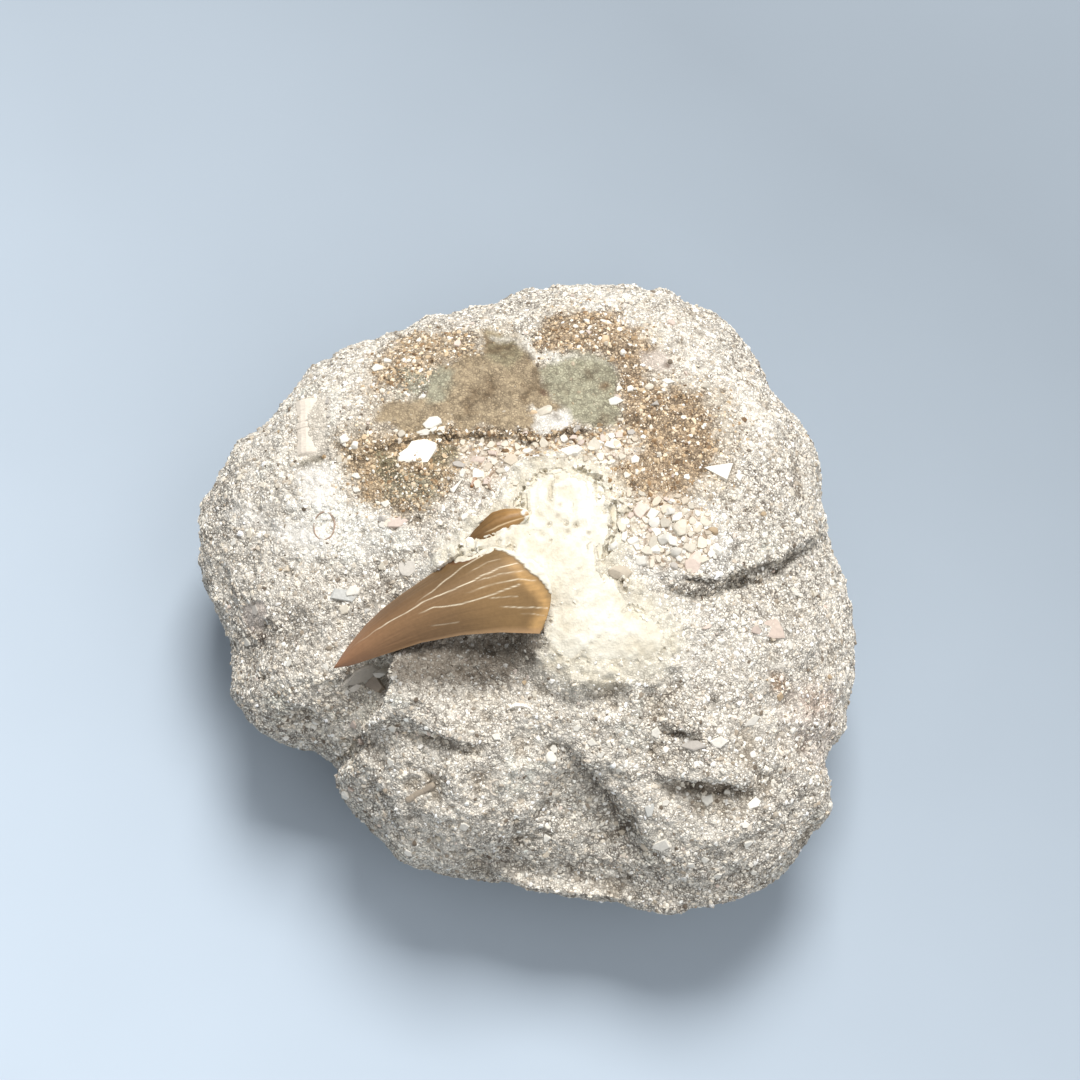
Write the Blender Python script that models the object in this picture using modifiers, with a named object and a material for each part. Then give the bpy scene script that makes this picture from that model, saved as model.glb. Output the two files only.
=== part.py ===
"""A fossil shark tooth lying in the lump of pale, sandy limestone that it was found in.

There are two pieces: the rock, and the tooth, whose crown, side cusp and root grew as one.
The rock lies on its back on a small flat spot. +Z is up, +X is along its longer side, and the
origin is under the middle of the whole at the height of the surface that it rests on.
All sizes below are in millimetres.
"""

import math

import bmesh
import bpy
import numpy as np
from mathutils import Matrix, Vector, noise

MM = 0.001
GAP = 0.3  # between the tooth and its bed in the rock

# The rock seen from above: its rim, anticlockwise from the right-hand side, as x, y
RIM = [
    (48.2, -0.4), (46.8, 6.5), (45.4, 12.5), (45.2, 17.5), (43.6, 23.5), (38.9, 29.7),
    (36.0, 34.6), (32.0, 40.0), (25.6, 45.3), (18.0, 47.6), (9.3, 48.2), (1.0, 47.2),
    (-3.2, 45.2), (-9.1, 44.2), (-20.4, 40.4), (-30.9, 35.6), (-39.6, 29.2), (-44.9, 20.2),
    (-48.6, 12.0), (-49.2, 5.0), (-47.6, 0.0), (-44.2, -7.6), (-43.9, -13.0), (-43.0, -17.4),
    (-39.2, -20.8), (-35.0, -22.4), (-31.2, -23.3), (-27.7, -25.6), (-26.6, -27.2),
    (-26.5, -30.0), (-22.6, -34.2), (-18.8, -39.4), (-13.4, -42.0), (-4.5, -43.9),
    (0.8, -45.7), (12.8, -47.2), (24.0, -48.4), (32.0, -47.0), (38.2, -42.6), (43.4, -37.8),
    (46.3, -33.2), (45.7, -28.6), (48.0, -21.6), (49.2, -15.0), (49.2, -8.0),
]
RIM_LEVEL = 18.0  # height at which the rock is widest
DOME = 23.5  # height of the upper side above the rim level
KEEL = 18.9  # depth of the underside below it, of which the resting flat takes the last part
UPPER_FULLNESS = 2.5  # 2 is a round side, and more is a squarer one
UNDER_FULLNESS = 2.6
FLUTE_REACH = 0.55  # how far up and down, as a share of the height, the rim's small bends run
SMOOTH_RIM_TURN = math.radians(11)

# Broad swells and hollows of the upper side: x, y, radius, height
SWELLS = [
    (-41.0, 2.0, 20.0, -3.6),
    (-20.0, -7.0, 9.0, -2.8),
    (-10.0, -1.0, 6.0, -0.9),
    (-24.0, -19.5, 5.0, -1.8),
    (-4.0, -18.0, 9.0, -2.6),
    (12.0, -42.0, 15.0, -3.2),
    (8.0, -36.0, 8.0, -2.2),
    (-12.0, -33.0, 10.0, 1.6),
    (-6.0, 27.0, 17.0, -2.0),
    (32.0, 14.0, 15.0, 1.6),
    (40.0, -14.0, 14.0, 0.6),
    (30.0, -38.0, 9.0, 1.8),
    (-34.0, 22.0, 12.0, 1.0),
]
FRONT_SLOPE = 0.14  # fall of the upper side towards the front, from FRONT_SLOPE_FROM on
FRONT_SLOPE_FROM = -10.0

# Broken edges of the upper side. The line's left-hand side stands higher, by "height" at the
# edge, and both sides come back to the general surface over "reach". "ends" says how much of
# the height is there at the line's two ends.
LEDGES = [
    {  # the long curved break on the right, which runs out over the rim
        "line": [(19.5, -3.2), (25.9, -3.9), (31.7, -2.3), (37.6, 0.4), (41.4, 3.4), (46.5, 8.0)],
        "height": 3.2, "edge": 0.5, "reach": 8.0, "ends": (0.0, 1.0),
    },
    {  # the deep step between the left-hand lobe and the body
        "line": [(-20.6, -12.4), (-19.2, -15.0), (-19.5, -18.3), (-21.3, -21.3),
                 (-23.1, -25.7), (-27.0, -30.0)],
        "height": 6.4, "edge": 0.5, "reach": 7.0, "ends": (0.0, 0.8),
    },
    {  # the shelf that carries the crown
        "line": [(-22.0, -13.0), (-17.0, -11.4), (-10.0, -9.6), (0.0, -8.8), (6.0, -10.0)],
        "height": 3.6, "edge": 0.8, "reach": 6.0, "ends": (0.0, 0.5),
    },
    {  # lower left
        "line": [(-24.5, -24.7), (-17.7, -23.7), (-14.5, -24.3), (-11.7, -25.6), (-6.0, -27.6)],
        "height": 3.0, "edge": 0.5, "reach": 6.0, "ends": (0.4, 0.0),
    },
    {  # the slanting valley in the front slope
        "line": [(5.5, -27.0), (11.0, -30.1), (13.3, -34.3), (16.4, -38.4), (19.5, -42.5)],
        "height": 3.4, "edge": 1.1, "reach": 6.0, "ends": (0.0, 0.4),
    },
    {  # front right
        "line": [(17.5, -30.6), (27.6, -31.9), (35.0, -32.8)],
        "height": 2.2, "edge": 0.5, "reach": 6.0, "ends": (0.0, 0.0),
    },
    {
        "line": [(18.6, -24.0), (26.5, -25.7)],
        "height": 1.2, "edge": 0.4, "reach": 3.0, "ends": (0.0, 0.0),
    },
    {  # lower edge of the stained skin
        "line": [(-27.0, 16.0), (-21.7, 16.6), (-16.5, 18.5), (-10.9, 18.6), (-3.3, 18.0),
                 (4.1, 18.4), (14.0, 20.4)],
        "height": 1.5, "edge": 0.5, "reach": 5.0, "ends": (0.0, 0.0),
    },
]
LEDGE_FADE = (0.0, 0.15, 0.75, 1.0)  # shares of the line between which it rises and dies away
# Grooves: their line, depth and half width
GROOVES = [
    {"line": [(-46.0, -12.4), (-38.9, -10.4), (-31.0, -10.0)], "depth": 1.6, "width": 2.4},
    {"line": [(-8.5, -42.5), (-2.6, -41.4), (2.0, -43.0)], "depth": 2.2, "width": 2.0},
    {"line": [(20.5, -4.6), (26.0, -5.0), (32.0, -3.5), (38.0, -0.8)], "depth": 1.2, "width": 0.9},
]
GROOVE_ENDS = 0.4  # share of the depth at both ends
# Flat breaks of the sides and the underside: the way each faces, as azimuth and elevation in
# degrees, and its distance from the middle of the rock at rim level
BREAKS = [
    (-150.0, -40.0, 35.4),
    (-78.0, -40.0, 38.4),
    (-20.0, -44.0, 39.4),
    (38.0, -36.0, 41.2),
    (104.0, -40.0, 36.6),
    (168.0, -36.0, 42.0),
    (-112.0, -56.0, 27.2),
    (72.0, -58.0, 28.8),
    (135.0, 24.0, 44.0),
    (-52.0, 16.0, 55.0),
    (60.0, 12.0, 51.2),
]
# Unevenness of the whole surface: size of the lumps, height
LUMPS = [(26.0, 1.6), (9.0, 0.9), (4.0, 0.5)]
TOP_LUMPS = 0.75  # share of it that the upper side keeps
WANDER_SIZE, WANDER = 6.0, 1.3  # how the edges of the ledges and grooves stray from their lines
NOISE_SEED = 1795635596  # without a seed Blender's noise vectors come out different in every run
CUBE_SIDE = 100  # faces along each edge of the cube that the rock is shaped from
ROCK_TRIANGLES = 6300

# The tooth's two cusps, seen from above: both cutting edges from the tip to the base as x, y,
# their height at the tip and at the base, the thickness above and below them, how far the base
# bows out towards the root, and the number of faces around and along
CROWN = {
    "upper edge": [
        (-27.1, -16.0), (-25.0, -12.9), (-22.5, -9.9), (-20.0, -7.6), (-17.4, -5.7),
        (-13.0, -2.8), (-9.2, -0.5), (-4.4, 0.8),
    ],
    "lower edge": [
        (-27.1, -16.0), (-24.6, -15.7), (-19.9, -14.3), (-14.4, -12.7), (-8.6, -11.8),
        (-3.0, -11.6), (2.6, -12.0),
    ],
    "levels": (37.2, 42.2), "above": 3.0, "below": 3.4, "bow": 4.4, "sides": 22, "rings": 22,
}
SIDE_CUSP = {
    "upper edge": [(-8.1, 1.8), (-7.0, 3.2), (-5.7, 4.7), (-4.3, 5.9), (-2.6, 6.4), (0.0, 6.4)],
    "lower edge": [(-8.1, 1.8), (-5.7, 1.5), (-3.8, 1.9), (-1.9, 3.0), (0.0, 4.3)],
    "levels": (41.6, 42.4), "above": 1.0, "below": 1.4, "bow": 1.0, "sides": 12, "rings": 10,
}
ROUND_BASE_FROM = 0.9  # share of a cusp's length at which its end starts to round off

# The root as a row of rounded masses that run into each other: centre x, y, z, then the half
# sizes along its length, across and in height, and the turn of its length from +X in degrees
ROOT_MASSES = [
    (14.6, -11.8, 39.0, 7.0, 4.8, 3.0, -10.0),
    (8.8, -10.3, 39.4, 7.0, 6.7, 3.1, 0.0),
    (9.4, -6.6, 39.6, 6.6, 5.8, 2.9, -30.0),
    (6.0, -2.6, 40.2, 6.4, 7.4, 2.9, 0.0),
    (6.2, 4.8, 39.6, 8.2, 8.8, 2.8, 0.0),
    (0.4, -0.4, 40.2, 4.4, 4.4, 2.7, 0.0),
    (-4.2, 1.3, 40.2, 8.0, 3.4, 2.9, 40.0),
]
ROOT_VOXEL = 0.75  # the root's masses are melted together at this fineness
ROOT_SMOOTHING = 5
ROOT_KEEPS = 0.13  # share of the faces that is left
BED_VOXEL = 0.6
BED_KEEPS = 0.1

ROCK_COLOUR = (0.62, 0.57, 0.50, 1.0)
ENAMEL_COLOUR = (0.27, 0.16, 0.08, 1.0)


def clear_scene():
    for item in list(bpy.data.objects):
        bpy.data.objects.remove(item)


def plain_material(name, colour, roughness):
    material = bpy.data.materials.new(name)
    material.use_nodes = True
    shader = material.node_tree.nodes["Principled BSDF"]
    shader.inputs["Base Color"].default_value = colour
    shader.inputs["Roughness"].default_value = roughness
    shader.inputs["Metallic"].default_value = 0.0
    return material


def new_object(name, bm, collection):
    mesh = bpy.data.meshes.new(name)
    bm.to_mesh(mesh)
    bm.free()
    item = bpy.data.objects.new(name, mesh)
    collection.objects.link(item)
    return item


def points_of(mesh):
    points = np.empty(len(mesh.vertices) * 3, np.float32)
    mesh.vertices.foreach_get("co", points)
    return points.reshape(-1, 3).astype(float)


def set_points(mesh, points):
    mesh.vertices.foreach_set("co", points.astype(np.float32).ravel())
    mesh.update()


def smoothstep(value, low, high):
    share = np.clip((value - low) / (high - low), 0.0, 1.0)
    return share * share * (3.0 - 2.0 * share)


def closed_curve(turn, turns, values):
    """A smooth closed curve through the values at the given turns, read at each turn."""
    full = 2 * math.pi
    xs = np.concatenate([turns - full, turns, turns + full])
    ys = np.concatenate([values, values, values])
    slopes = np.gradient(ys, xs)
    i = np.searchsorted(xs, turn) - 1
    step = xs[i + 1] - xs[i]
    t = (turn - xs[i]) / step
    return (
        ys[i] * (1 + 2 * t) * (1 - t) ** 2
        + ys[i + 1] * t * t * (3 - 2 * t)
        + slopes[i] * step * t * (1 - t) ** 2
        + slopes[i + 1] * step * t * t * (t - 1)
    )


def rim_radius(turn):
    """Distance from the rock's middle to its rim, and the same with the small bends evened out."""
    rim = np.array(RIM)
    turns = np.unwrap(np.arctan2(rim[:, 1], rim[:, 0]))
    radii = np.hypot(rim[:, 0], rim[:, 1])
    turn = np.mod(turn - turns[0], 2 * math.pi) + turns[0]
    offsets = np.linspace(-SMOOTH_RIM_TURN, SMOOTH_RIM_TURN, 9)
    even = np.mean([closed_curve(turn + offset, turns, radii) for offset in offsets], axis=0)
    return closed_curve(turn, turns, radii), even


def rock_body(direction):
    """Carries points of the unit sphere onto the rock's general form."""
    turn = np.arctan2(direction[:, 1], direction[:, 0])
    level = direction[:, 2]
    across = np.sqrt(np.clip(1 - level**2, 0, 1))
    radius, even_radius = rim_radius(turn)
    fullness = np.where(level > 0, UPPER_FULLNESS, UNDER_FULLNESS)
    height = np.where(level > 0, DOME, KEEL) * np.abs(level) ** (2 / fullness)
    flutes = np.exp(-((level / FLUTE_REACH) ** 2))
    reach = (even_radius + (radius - even_radius) * flutes) * across ** (2 / fullness)
    return np.stack(
        [
            reach * np.cos(turn),
            reach * np.sin(turn),
            RIM_LEVEL + np.sign(level) * height,
        ],
        axis=1,
    )


def to_line(plan, line):
    """Signed distance of each x, y to the line, positive on its left, and the share of the line
    passed at the nearest point."""
    corners = np.array(line, float)
    distance = np.full(len(plan), np.inf)
    passed = np.zeros(len(plan))
    count = len(corners) - 1
    for i in range(count):
        run = corners[i + 1] - corners[i]
        start = plan - corners[i]
        t = np.clip(start @ run / (run @ run), 0, 1)
        off = start - t[:, None] * run
        away = np.hypot(off[:, 0], off[:, 1])
        side = np.sign(run[0] * start[:, 1] - run[1] * start[:, 0])
        nearer = away < np.abs(distance)
        distance = np.where(nearer, away * side, distance)
        passed = np.where(nearer, (i + t) / count, passed)
    return distance, passed


def swells(plan):
    """Height that the front slope and the broad swells add to the upper side at each x, y."""
    rise = FRONT_SLOPE * np.minimum(0.0, plan[:, 1] - FRONT_SLOPE_FROM)
    for x, y, radius, height in SWELLS:
        away = np.hypot(plan[:, 0] - x, plan[:, 1] - y)
        rise += height * np.exp(-((away / radius) ** 2))
    return rise


def breaks_in_top(plan):
    """Height that the ledges and grooves add to the upper side at each x, y."""
    rise = np.zeros(len(plan))
    for ledge in LEDGES:
        distance, passed = to_line(plan, ledge["line"])
        first, last = ledge["ends"]
        strength = np.interp(passed, LEDGE_FADE, [first, 1.0, 1.0, last])
        near = np.exp(-((distance / ledge["reach"]) ** 2))
        rise += 0.5 * ledge["height"] * np.tanh(distance / ledge["edge"]) * near * strength
    for groove in GROOVES:
        distance, passed = to_line(plan, groove["line"])
        strength = np.interp(passed, LEDGE_FADE, [GROOVE_ENDS, 1.0, 1.0, GROOVE_ENDS])
        rise -= groove["depth"] * np.exp(-((distance / groove["width"]) ** 2)) * strength
    return rise


def wandering(points):
    """Each point's x, y moved a little, so that what is drawn on them comes out uneven."""
    noise.seed_set(NOISE_SEED)
    return np.array([p[:2] + WANDER * np.array(noise.noise_vector(Vector(p / WANDER_SIZE)))[:2]
                     for p in points])


def lumps(points):
    """Natural unevenness at each point, as a height along the surface's normal."""
    rise = np.zeros(len(points))
    for size, height in LUMPS:
        rise += height * np.array([noise.noise(Vector(p / size)) for p in points])
    return rise


def flatten(points, azimuth, elevation, distance):
    """Brings every point that lies beyond a plane back onto it."""
    azimuth, elevation = math.radians(azimuth), math.radians(elevation)
    facing = np.array(
        [
            math.cos(azimuth) * math.cos(elevation),
            math.sin(azimuth) * math.cos(elevation),
            math.sin(elevation),
        ]
    )
    beyond = (points - [0, 0, RIM_LEVEL]) @ facing - distance
    return points - np.outer(np.maximum(beyond, 0.0), facing)


def make_rock(collection):
    bm = bmesh.new()
    bmesh.ops.create_cube(bm, size=2.0)
    bmesh.ops.subdivide_edges(bm, edges=bm.edges[:], cuts=CUBE_SIDE - 1, use_grid_fill=True)
    rock = new_object("rock", bm, collection)
    mesh = rock.data
    # Tangents space the faces of a cube evenly once it is rounded to a sphere.
    direction = np.tan(points_of(mesh) * math.pi / 4)
    direction /= np.linalg.norm(direction, axis=1)[:, None]
    points = rock_body(direction)
    level = direction[:, 2]
    points[:, 2] += swells(points[:, :2]) * smoothstep(level, -0.05, 0.45)
    points[:, 2] += breaks_in_top(wandering(points)) * smoothstep(level, -0.2, 0.2)
    for azimuth, elevation, distance in BREAKS:
        points = flatten(points, azimuth, elevation, distance)
    set_points(mesh, points)
    normals = np.empty(len(mesh.vertices) * 3, np.float32)
    mesh.vertex_normals.foreach_get("vector", normals)
    keep = 1 - (1 - TOP_LUMPS) * smoothstep(level, 0.0, 0.3)
    points += normals.reshape(-1, 3) * (lumps(points) * keep)[:, None]
    points = flatten(points, 0, -90, RIM_LEVEL)
    set_points(mesh, points * MM)
    fewer_faces(rock, ROCK_TRIANGLES / (2 * len(mesh.polygons)))
    return rock


def along(line, share):
    """The point at a share of the line's length."""
    corners = np.array(line, float)
    lengths = np.hypot(*np.diff(corners, axis=0).T)
    passed = np.concatenate([[0], np.cumsum(lengths)]) / lengths.sum()
    return np.array([np.interp(share, passed, corners[:, i]) for i in (0, 1)])


def blade(name, cusp, collection):
    """A cusp of the tooth, shaped from a ball whose top becomes the tip: lens-shaped sections
    from one cutting edge to the other, and a rounded base."""
    bm = bmesh.new()
    bmesh.ops.create_uvsphere(
        bm, u_segments=cusp["sides"], v_segments=cusp["rings"], radius=1.0
    )
    for vertex in bm.verts:
        share = math.acos(max(-1.0, min(1.0, vertex.co.z))) / math.pi
        turn = math.atan2(vertex.co.y, vertex.co.x)
        pole = abs(vertex.co.z) > 0.9999
        across = 0.0 if pole else math.cos(turn)
        over = 0.0 if pole else math.sin(turn)
        passed = min(1.0, share / ROUND_BASE_FROM)
        closing = math.sqrt(1 - (max(0.0, share - ROUND_BASE_FROM) / (1 - ROUND_BASE_FROM)) ** 2)
        first, last = along(cusp["upper edge"], passed), along(cusp["lower edge"], passed)
        middle, half = (first + last) / 2, (first - last) / 2
        forward = np.array([half[1], -half[0]]) / max(1e-6, math.hypot(*half))
        bow = cusp["bow"] * (1 - across**2) * (1 - 0.3 * across) * passed**3
        x, y = middle + half * across * closing + forward * bow
        tip_level, base_level = cusp["levels"]
        level = tip_level + (base_level - tip_level) * passed
        thickness = cusp["above"] if over > 0 else -cusp["below"]
        swell = math.sin(math.pi / 2 * min(1.0, passed * 1.25)) ** 0.8
        vertex.co = Vector((x, y, level + thickness * swell * over * over * closing)) * MM
    bmesh.ops.remove_doubles(bm, verts=bm.verts[:], dist=0.00002)
    bmesh.ops.recalc_face_normals(bm, faces=bm.faces[:])
    return new_object(name, bm, collection)


def make_root(collection):
    bm = bmesh.new()
    for x, y, z, length, width, height, turn in ROOT_MASSES:
        mass = bmesh.ops.create_icosphere(bm, subdivisions=3, radius=MM)["verts"]
        bmesh.ops.scale(bm, vec=(length, width, height), verts=mass)
        spin = Matrix.Rotation(math.radians(turn), 3, "Z")
        bmesh.ops.rotate(bm, verts=mass, cent=(0, 0, 0), matrix=spin)
        bmesh.ops.translate(bm, vec=Vector((x, y, z)) * MM, verts=mass)
    root = new_object("root of the tooth", bm, collection)
    melt(root, ROOT_VOXEL, ROOT_SMOOTHING)
    fewer_faces(root, ROOT_KEEPS)
    return root


def melt(item, voxel, rounds):
    """Makes one closed skin around the item's overlapping bodies and evens it out."""
    skin = item.modifiers.new("one skin", "REMESH")
    skin.mode = "VOXEL"
    skin.voxel_size = voxel * MM
    if rounds:
        even = item.modifiers.new("even out", "SMOOTH")
        even.factor = 0.5
        even.iterations = rounds


def fewer_faces(item, share):
    thin = item.modifiers.new("fewer faces", "DECIMATE")
    thin.ratio = share


def boolean(item, operation, other):
    cut = item.modifiers.new(f"{operation.lower()} {other.name}", "BOOLEAN")
    cut.operation = operation
    cut.solver = "EXACT"
    cut.object = other


def make_tooth(name, collection, cusp, root):
    tooth = blade(name, CROWN, collection)
    boolean(tooth, "UNION", cusp)
    boolean(tooth, "UNION", root)
    return tooth


def make_bed(collection, cusp, root):
    """The tooth grown by the gap, which is cut out of the rock."""
    bed = make_tooth("bed", collection, cusp, root)
    grow = bed.modifiers.new("gap", "DISPLACE")
    grow.mid_level = 0.0
    grow.strength = GAP * MM
    melt(bed, BED_VOXEL, 0)
    fewer_faces(bed, BED_KEEPS)
    return bed


def named_collection(name):
    collection = bpy.data.collections.new(name)
    bpy.context.scene.collection.children.link(collection)
    return collection


def centre(items):
    """Moves every object so that the origin lies under the middle of the given ones."""
    graph = bpy.context.evaluated_depsgraph_get()
    corners = np.array([c for item in items for c in item.evaluated_get(graph).bound_box])
    middle = (corners.min(axis=0) + corners.max(axis=0)) / 2
    for item in bpy.data.objects:
        item.location -= Vector((middle[0], middle[1], 0.0))


def main():
    clear_scene()
    fossil = named_collection("fossil shark tooth in rock")
    helpers = named_collection("helpers")
    cusp = blade("side cusp", SIDE_CUSP, helpers)
    root = make_root(helpers)
    bed = make_bed(helpers, cusp, root)
    for helper in (cusp, root, bed):
        helper.hide_render = True
        helper.display_type = "WIRE"
    rock = make_rock(fossil)
    boolean(rock, "DIFFERENCE", bed)
    rock.data.materials.append(plain_material("limestone", ROCK_COLOUR, 0.95))
    tooth = make_tooth("tooth", fossil, cusp, root)
    tooth.data.materials.append(plain_material("enamel", ENAMEL_COLOUR, 0.35))
    centre([rock, tooth])


main()
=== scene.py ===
"""The looks of a fossil shark tooth in its lump of sandy limestone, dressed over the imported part.

The rock's skin repeats the form of the part's source at a finer scale and adds its grains, pits,
cracks, stains and bits of shell. The tooth is an enamel crown and side cusp with a chalky root.
Sizes are in millimetres and are turned into metres as meshes are made.
"""

import itertools
import math

import bmesh
import bpy
import numpy as np
from mathutils import Matrix, Vector, noise
from mathutils.bvhtree import BVHTree


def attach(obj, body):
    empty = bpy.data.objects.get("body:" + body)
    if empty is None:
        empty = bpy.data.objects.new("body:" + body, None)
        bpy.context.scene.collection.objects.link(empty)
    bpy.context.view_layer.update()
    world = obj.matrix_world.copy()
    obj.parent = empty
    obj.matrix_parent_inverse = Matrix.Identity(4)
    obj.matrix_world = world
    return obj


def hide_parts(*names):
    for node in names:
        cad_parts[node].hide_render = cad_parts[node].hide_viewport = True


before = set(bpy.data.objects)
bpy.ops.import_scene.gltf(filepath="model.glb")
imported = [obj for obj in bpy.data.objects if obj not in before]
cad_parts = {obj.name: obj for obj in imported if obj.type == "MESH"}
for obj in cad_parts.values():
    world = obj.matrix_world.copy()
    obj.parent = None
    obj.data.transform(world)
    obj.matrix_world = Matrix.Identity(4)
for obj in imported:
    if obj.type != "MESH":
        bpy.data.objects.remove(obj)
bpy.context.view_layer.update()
MM = 0.001

# ---------------------------------------------------------------- form, as in the part's source
RIM = [
    (48.2, -0.4), (46.8, 6.5), (45.4, 12.5), (45.2, 17.5), (43.6, 23.5), (38.9, 29.7),
    (36.0, 34.6), (32.0, 40.0), (25.6, 45.3), (18.0, 47.6), (9.3, 48.2), (1.0, 47.2),
    (-3.2, 45.2), (-9.1, 44.2), (-20.4, 40.4), (-30.9, 35.6), (-39.6, 29.2), (-44.9, 20.2),
    (-48.6, 12.0), (-49.2, 5.0), (-47.6, 0.0), (-44.2, -7.6), (-43.9, -13.0), (-43.0, -17.4),
    (-39.2, -20.8), (-35.0, -22.4), (-31.2, -23.3), (-27.7, -25.6), (-26.6, -27.2),
    (-26.5, -30.0), (-22.6, -34.2), (-18.8, -39.4), (-13.4, -42.0), (-4.5, -43.9),
    (0.8, -45.7), (12.8, -47.2), (24.0, -48.4), (32.0, -47.0), (38.2, -42.6), (43.4, -37.8),
    (46.3, -33.2), (45.7, -28.6), (48.0, -21.6), (49.2, -15.0), (49.2, -8.0),
]
RIM_LEVEL = 18.0
DOME = 23.5
KEEL = 18.9
UPPER_FULLNESS = 2.5
UNDER_FULLNESS = 2.6
FLUTE_REACH = 0.55
SMOOTH_RIM_TURN = math.radians(11)
SWELLS = [
    (-41.0, 2.0, 20.0, -3.6),
    (-20.0, -7.0, 9.0, -2.8),
    (-10.0, -1.0, 6.0, -0.9),
    (-24.0, -19.5, 5.0, -1.8),
    (-4.0, -18.0, 9.0, -2.6),
    (12.0, -42.0, 15.0, -3.2),
    (8.0, -36.0, 8.0, -2.2),
    (-12.0, -33.0, 10.0, 1.6),
    (-6.0, 27.0, 17.0, -2.0),
    (32.0, 14.0, 15.0, 1.6),
    (40.0, -14.0, 14.0, 0.6),
    (30.0, -38.0, 9.0, 1.8),
    (-34.0, 22.0, 12.0, 1.0),
]
FRONT_SLOPE = 0.14
FRONT_SLOPE_FROM = -10.0
LEDGES = [
    {
        "line": [(19.5, -3.2), (25.9, -3.9), (31.7, -2.3), (37.6, 0.4), (41.4, 3.4), (46.5, 8.0)],
        "height": 2.3, "edge": 0.5, "reach": 8.0, "ends": (0.0, 1.0),
    },
    {
        "line": [(-20.6, -12.4), (-19.2, -15.0), (-19.5, -18.3), (-21.3, -21.3),
                 (-23.1, -25.7), (-27.0, -30.0)],
        "height": 6.4, "edge": 0.5, "reach": 7.0, "ends": (0.0, 0.8),
    },
    {
        "line": [(-22.0, -13.0), (-17.0, -11.4), (-10.0, -9.6), (0.0, -8.8), (6.0, -10.0)],
        "height": 3.6, "edge": 0.8, "reach": 6.0, "ends": (0.0, 0.5),
    },
    {
        "line": [(-24.5, -24.7), (-17.7, -23.7), (-14.5, -24.3), (-11.7, -25.6), (-6.0, -27.6)],
        "height": 3.0, "edge": 0.5, "reach": 6.0, "ends": (0.4, 0.0),
    },
    {
        "line": [(5.5, -27.0), (11.0, -30.1), (13.3, -34.3), (16.4, -38.4), (19.5, -42.5)],
        "height": 3.4, "edge": 1.1, "reach": 6.0, "ends": (0.0, 0.4),
    },
    {
        "line": [(17.5, -30.6), (27.6, -31.9), (35.0, -32.8)],
        "height": 2.2, "edge": 0.5, "reach": 6.0, "ends": (0.0, 0.0),
    },
    {
        "line": [(18.6, -24.0), (26.5, -25.7)],
        "height": 1.2, "edge": 0.4, "reach": 3.0, "ends": (0.0, 0.0),
    },
    {
        "line": [(-27.0, 16.0), (-21.7, 16.6), (-16.5, 18.5), (-10.9, 18.6), (-3.3, 18.0),
                 (4.1, 18.4), (14.0, 20.4)],
        "height": 1.0, "edge": 0.5, "reach": 5.0, "ends": (0.0, 0.0),
    },
]
LEDGE_FADE = (0.0, 0.15, 0.75, 1.0)
EDGE_SHARPNESS = 0.55  # share of the edges' width in the part's source
GROOVES = [
    {"line": [(-46.0, -12.4), (-38.9, -10.4), (-31.0, -10.0)], "depth": 1.6, "width": 2.4},
    {"line": [(-8.5, -42.5), (-2.6, -41.4), (2.0, -43.0)], "depth": 2.2, "width": 2.0},
    {"line": [(20.5, -4.6), (26.0, -5.0), (32.0, -3.5), (38.0, -0.8)], "depth": 0.8, "width": 0.9},
]
GROOVE_ENDS = 0.4
BREAKS = [
    (-150.0, -40.0, 35.4),
    (-78.0, -40.0, 38.4),
    (-20.0, -44.0, 39.4),
    (38.0, -36.0, 41.2),
    (104.0, -40.0, 36.6),
    (168.0, -36.0, 42.0),
    (-112.0, -56.0, 27.2),
    (72.0, -58.0, 28.8),
    (135.0, 24.0, 44.0),
    (-52.0, 16.0, 55.0),
    (60.0, 12.0, 51.2),
]
LUMPS = [(26.0, 1.6), (9.0, 0.9), (4.0, 0.5)]
TOP_LUMPS = 0.75
WANDER_SIZE, WANDER = 6.0, 1.3
NOISE_SEED = 1795635596  # the same as the part's, so that the ledges wander as its do
CROWN = {
    "upper edge": [
        (-27.1, -16.0), (-25.0, -12.9), (-22.5, -9.9), (-20.0, -7.6), (-17.4, -5.7),
        (-13.0, -2.8), (-9.2, -0.5), (-4.4, 0.8),
    ],
    "lower edge": [
        (-27.1, -16.0), (-24.6, -15.7), (-19.9, -14.3), (-14.4, -12.7), (-8.6, -11.8),
        (-3.0, -11.6), (2.6, -12.0),
    ],
    "levels": (37.2, 42.2), "above": 3.0, "below": 3.4, "bow": 4.4,
}
SIDE_CUSP = {
    "upper edge": [(-8.1, 1.8), (-7.0, 3.2), (-5.7, 4.7), (-4.3, 5.9), (-2.6, 6.4), (0.0, 6.4)],
    "lower edge": [(-8.1, 1.8), (-5.7, 1.5), (-3.8, 1.9), (-1.9, 3.0), (0.0, 4.3)],
    "levels": (41.6, 42.4), "above": 1.0, "below": 1.4, "bow": 1.0,
}
ROUND_BASE_FROM = 0.9
ROOT_MASSES = [
    (14.6, -11.8, 39.0, 7.0, 4.8, 3.0, -10.0),
    (8.8, -10.3, 39.4, 7.0, 6.7, 3.1, 0.0),
    (9.4, -6.6, 39.6, 6.6, 5.8, 2.9, -30.0),
    (6.0, -2.6, 40.2, 6.4, 7.4, 2.9, 0.0),
    (6.2, 4.8, 39.6, 8.2, 8.8, 2.8, 0.0),
    (0.4, -0.4, 40.2, 4.4, 4.4, 2.7, 0.0),
    (-4.2, 1.3, 40.2, 8.0, 3.4, 2.9, 40.0),
]

# ---------------------------------------------------------------- fineness of the meshes
SKIN_SIDE = 190  # faces along each edge of the cube that the skin is shaped from
SKIN_TRIANGLES = 190_000
UPPER_SHARE = 1.3  # above 1, the skin's points crowd on the upper side
CROWN_GRID = {"top": 130, "bottom": 36, "rings": 230}
CUSP_GRID = {"top": 64, "bottom": 24, "rings": 70}
ROOT_VOXEL = 0.26
ROOT_SMOOTHING = 24

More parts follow.
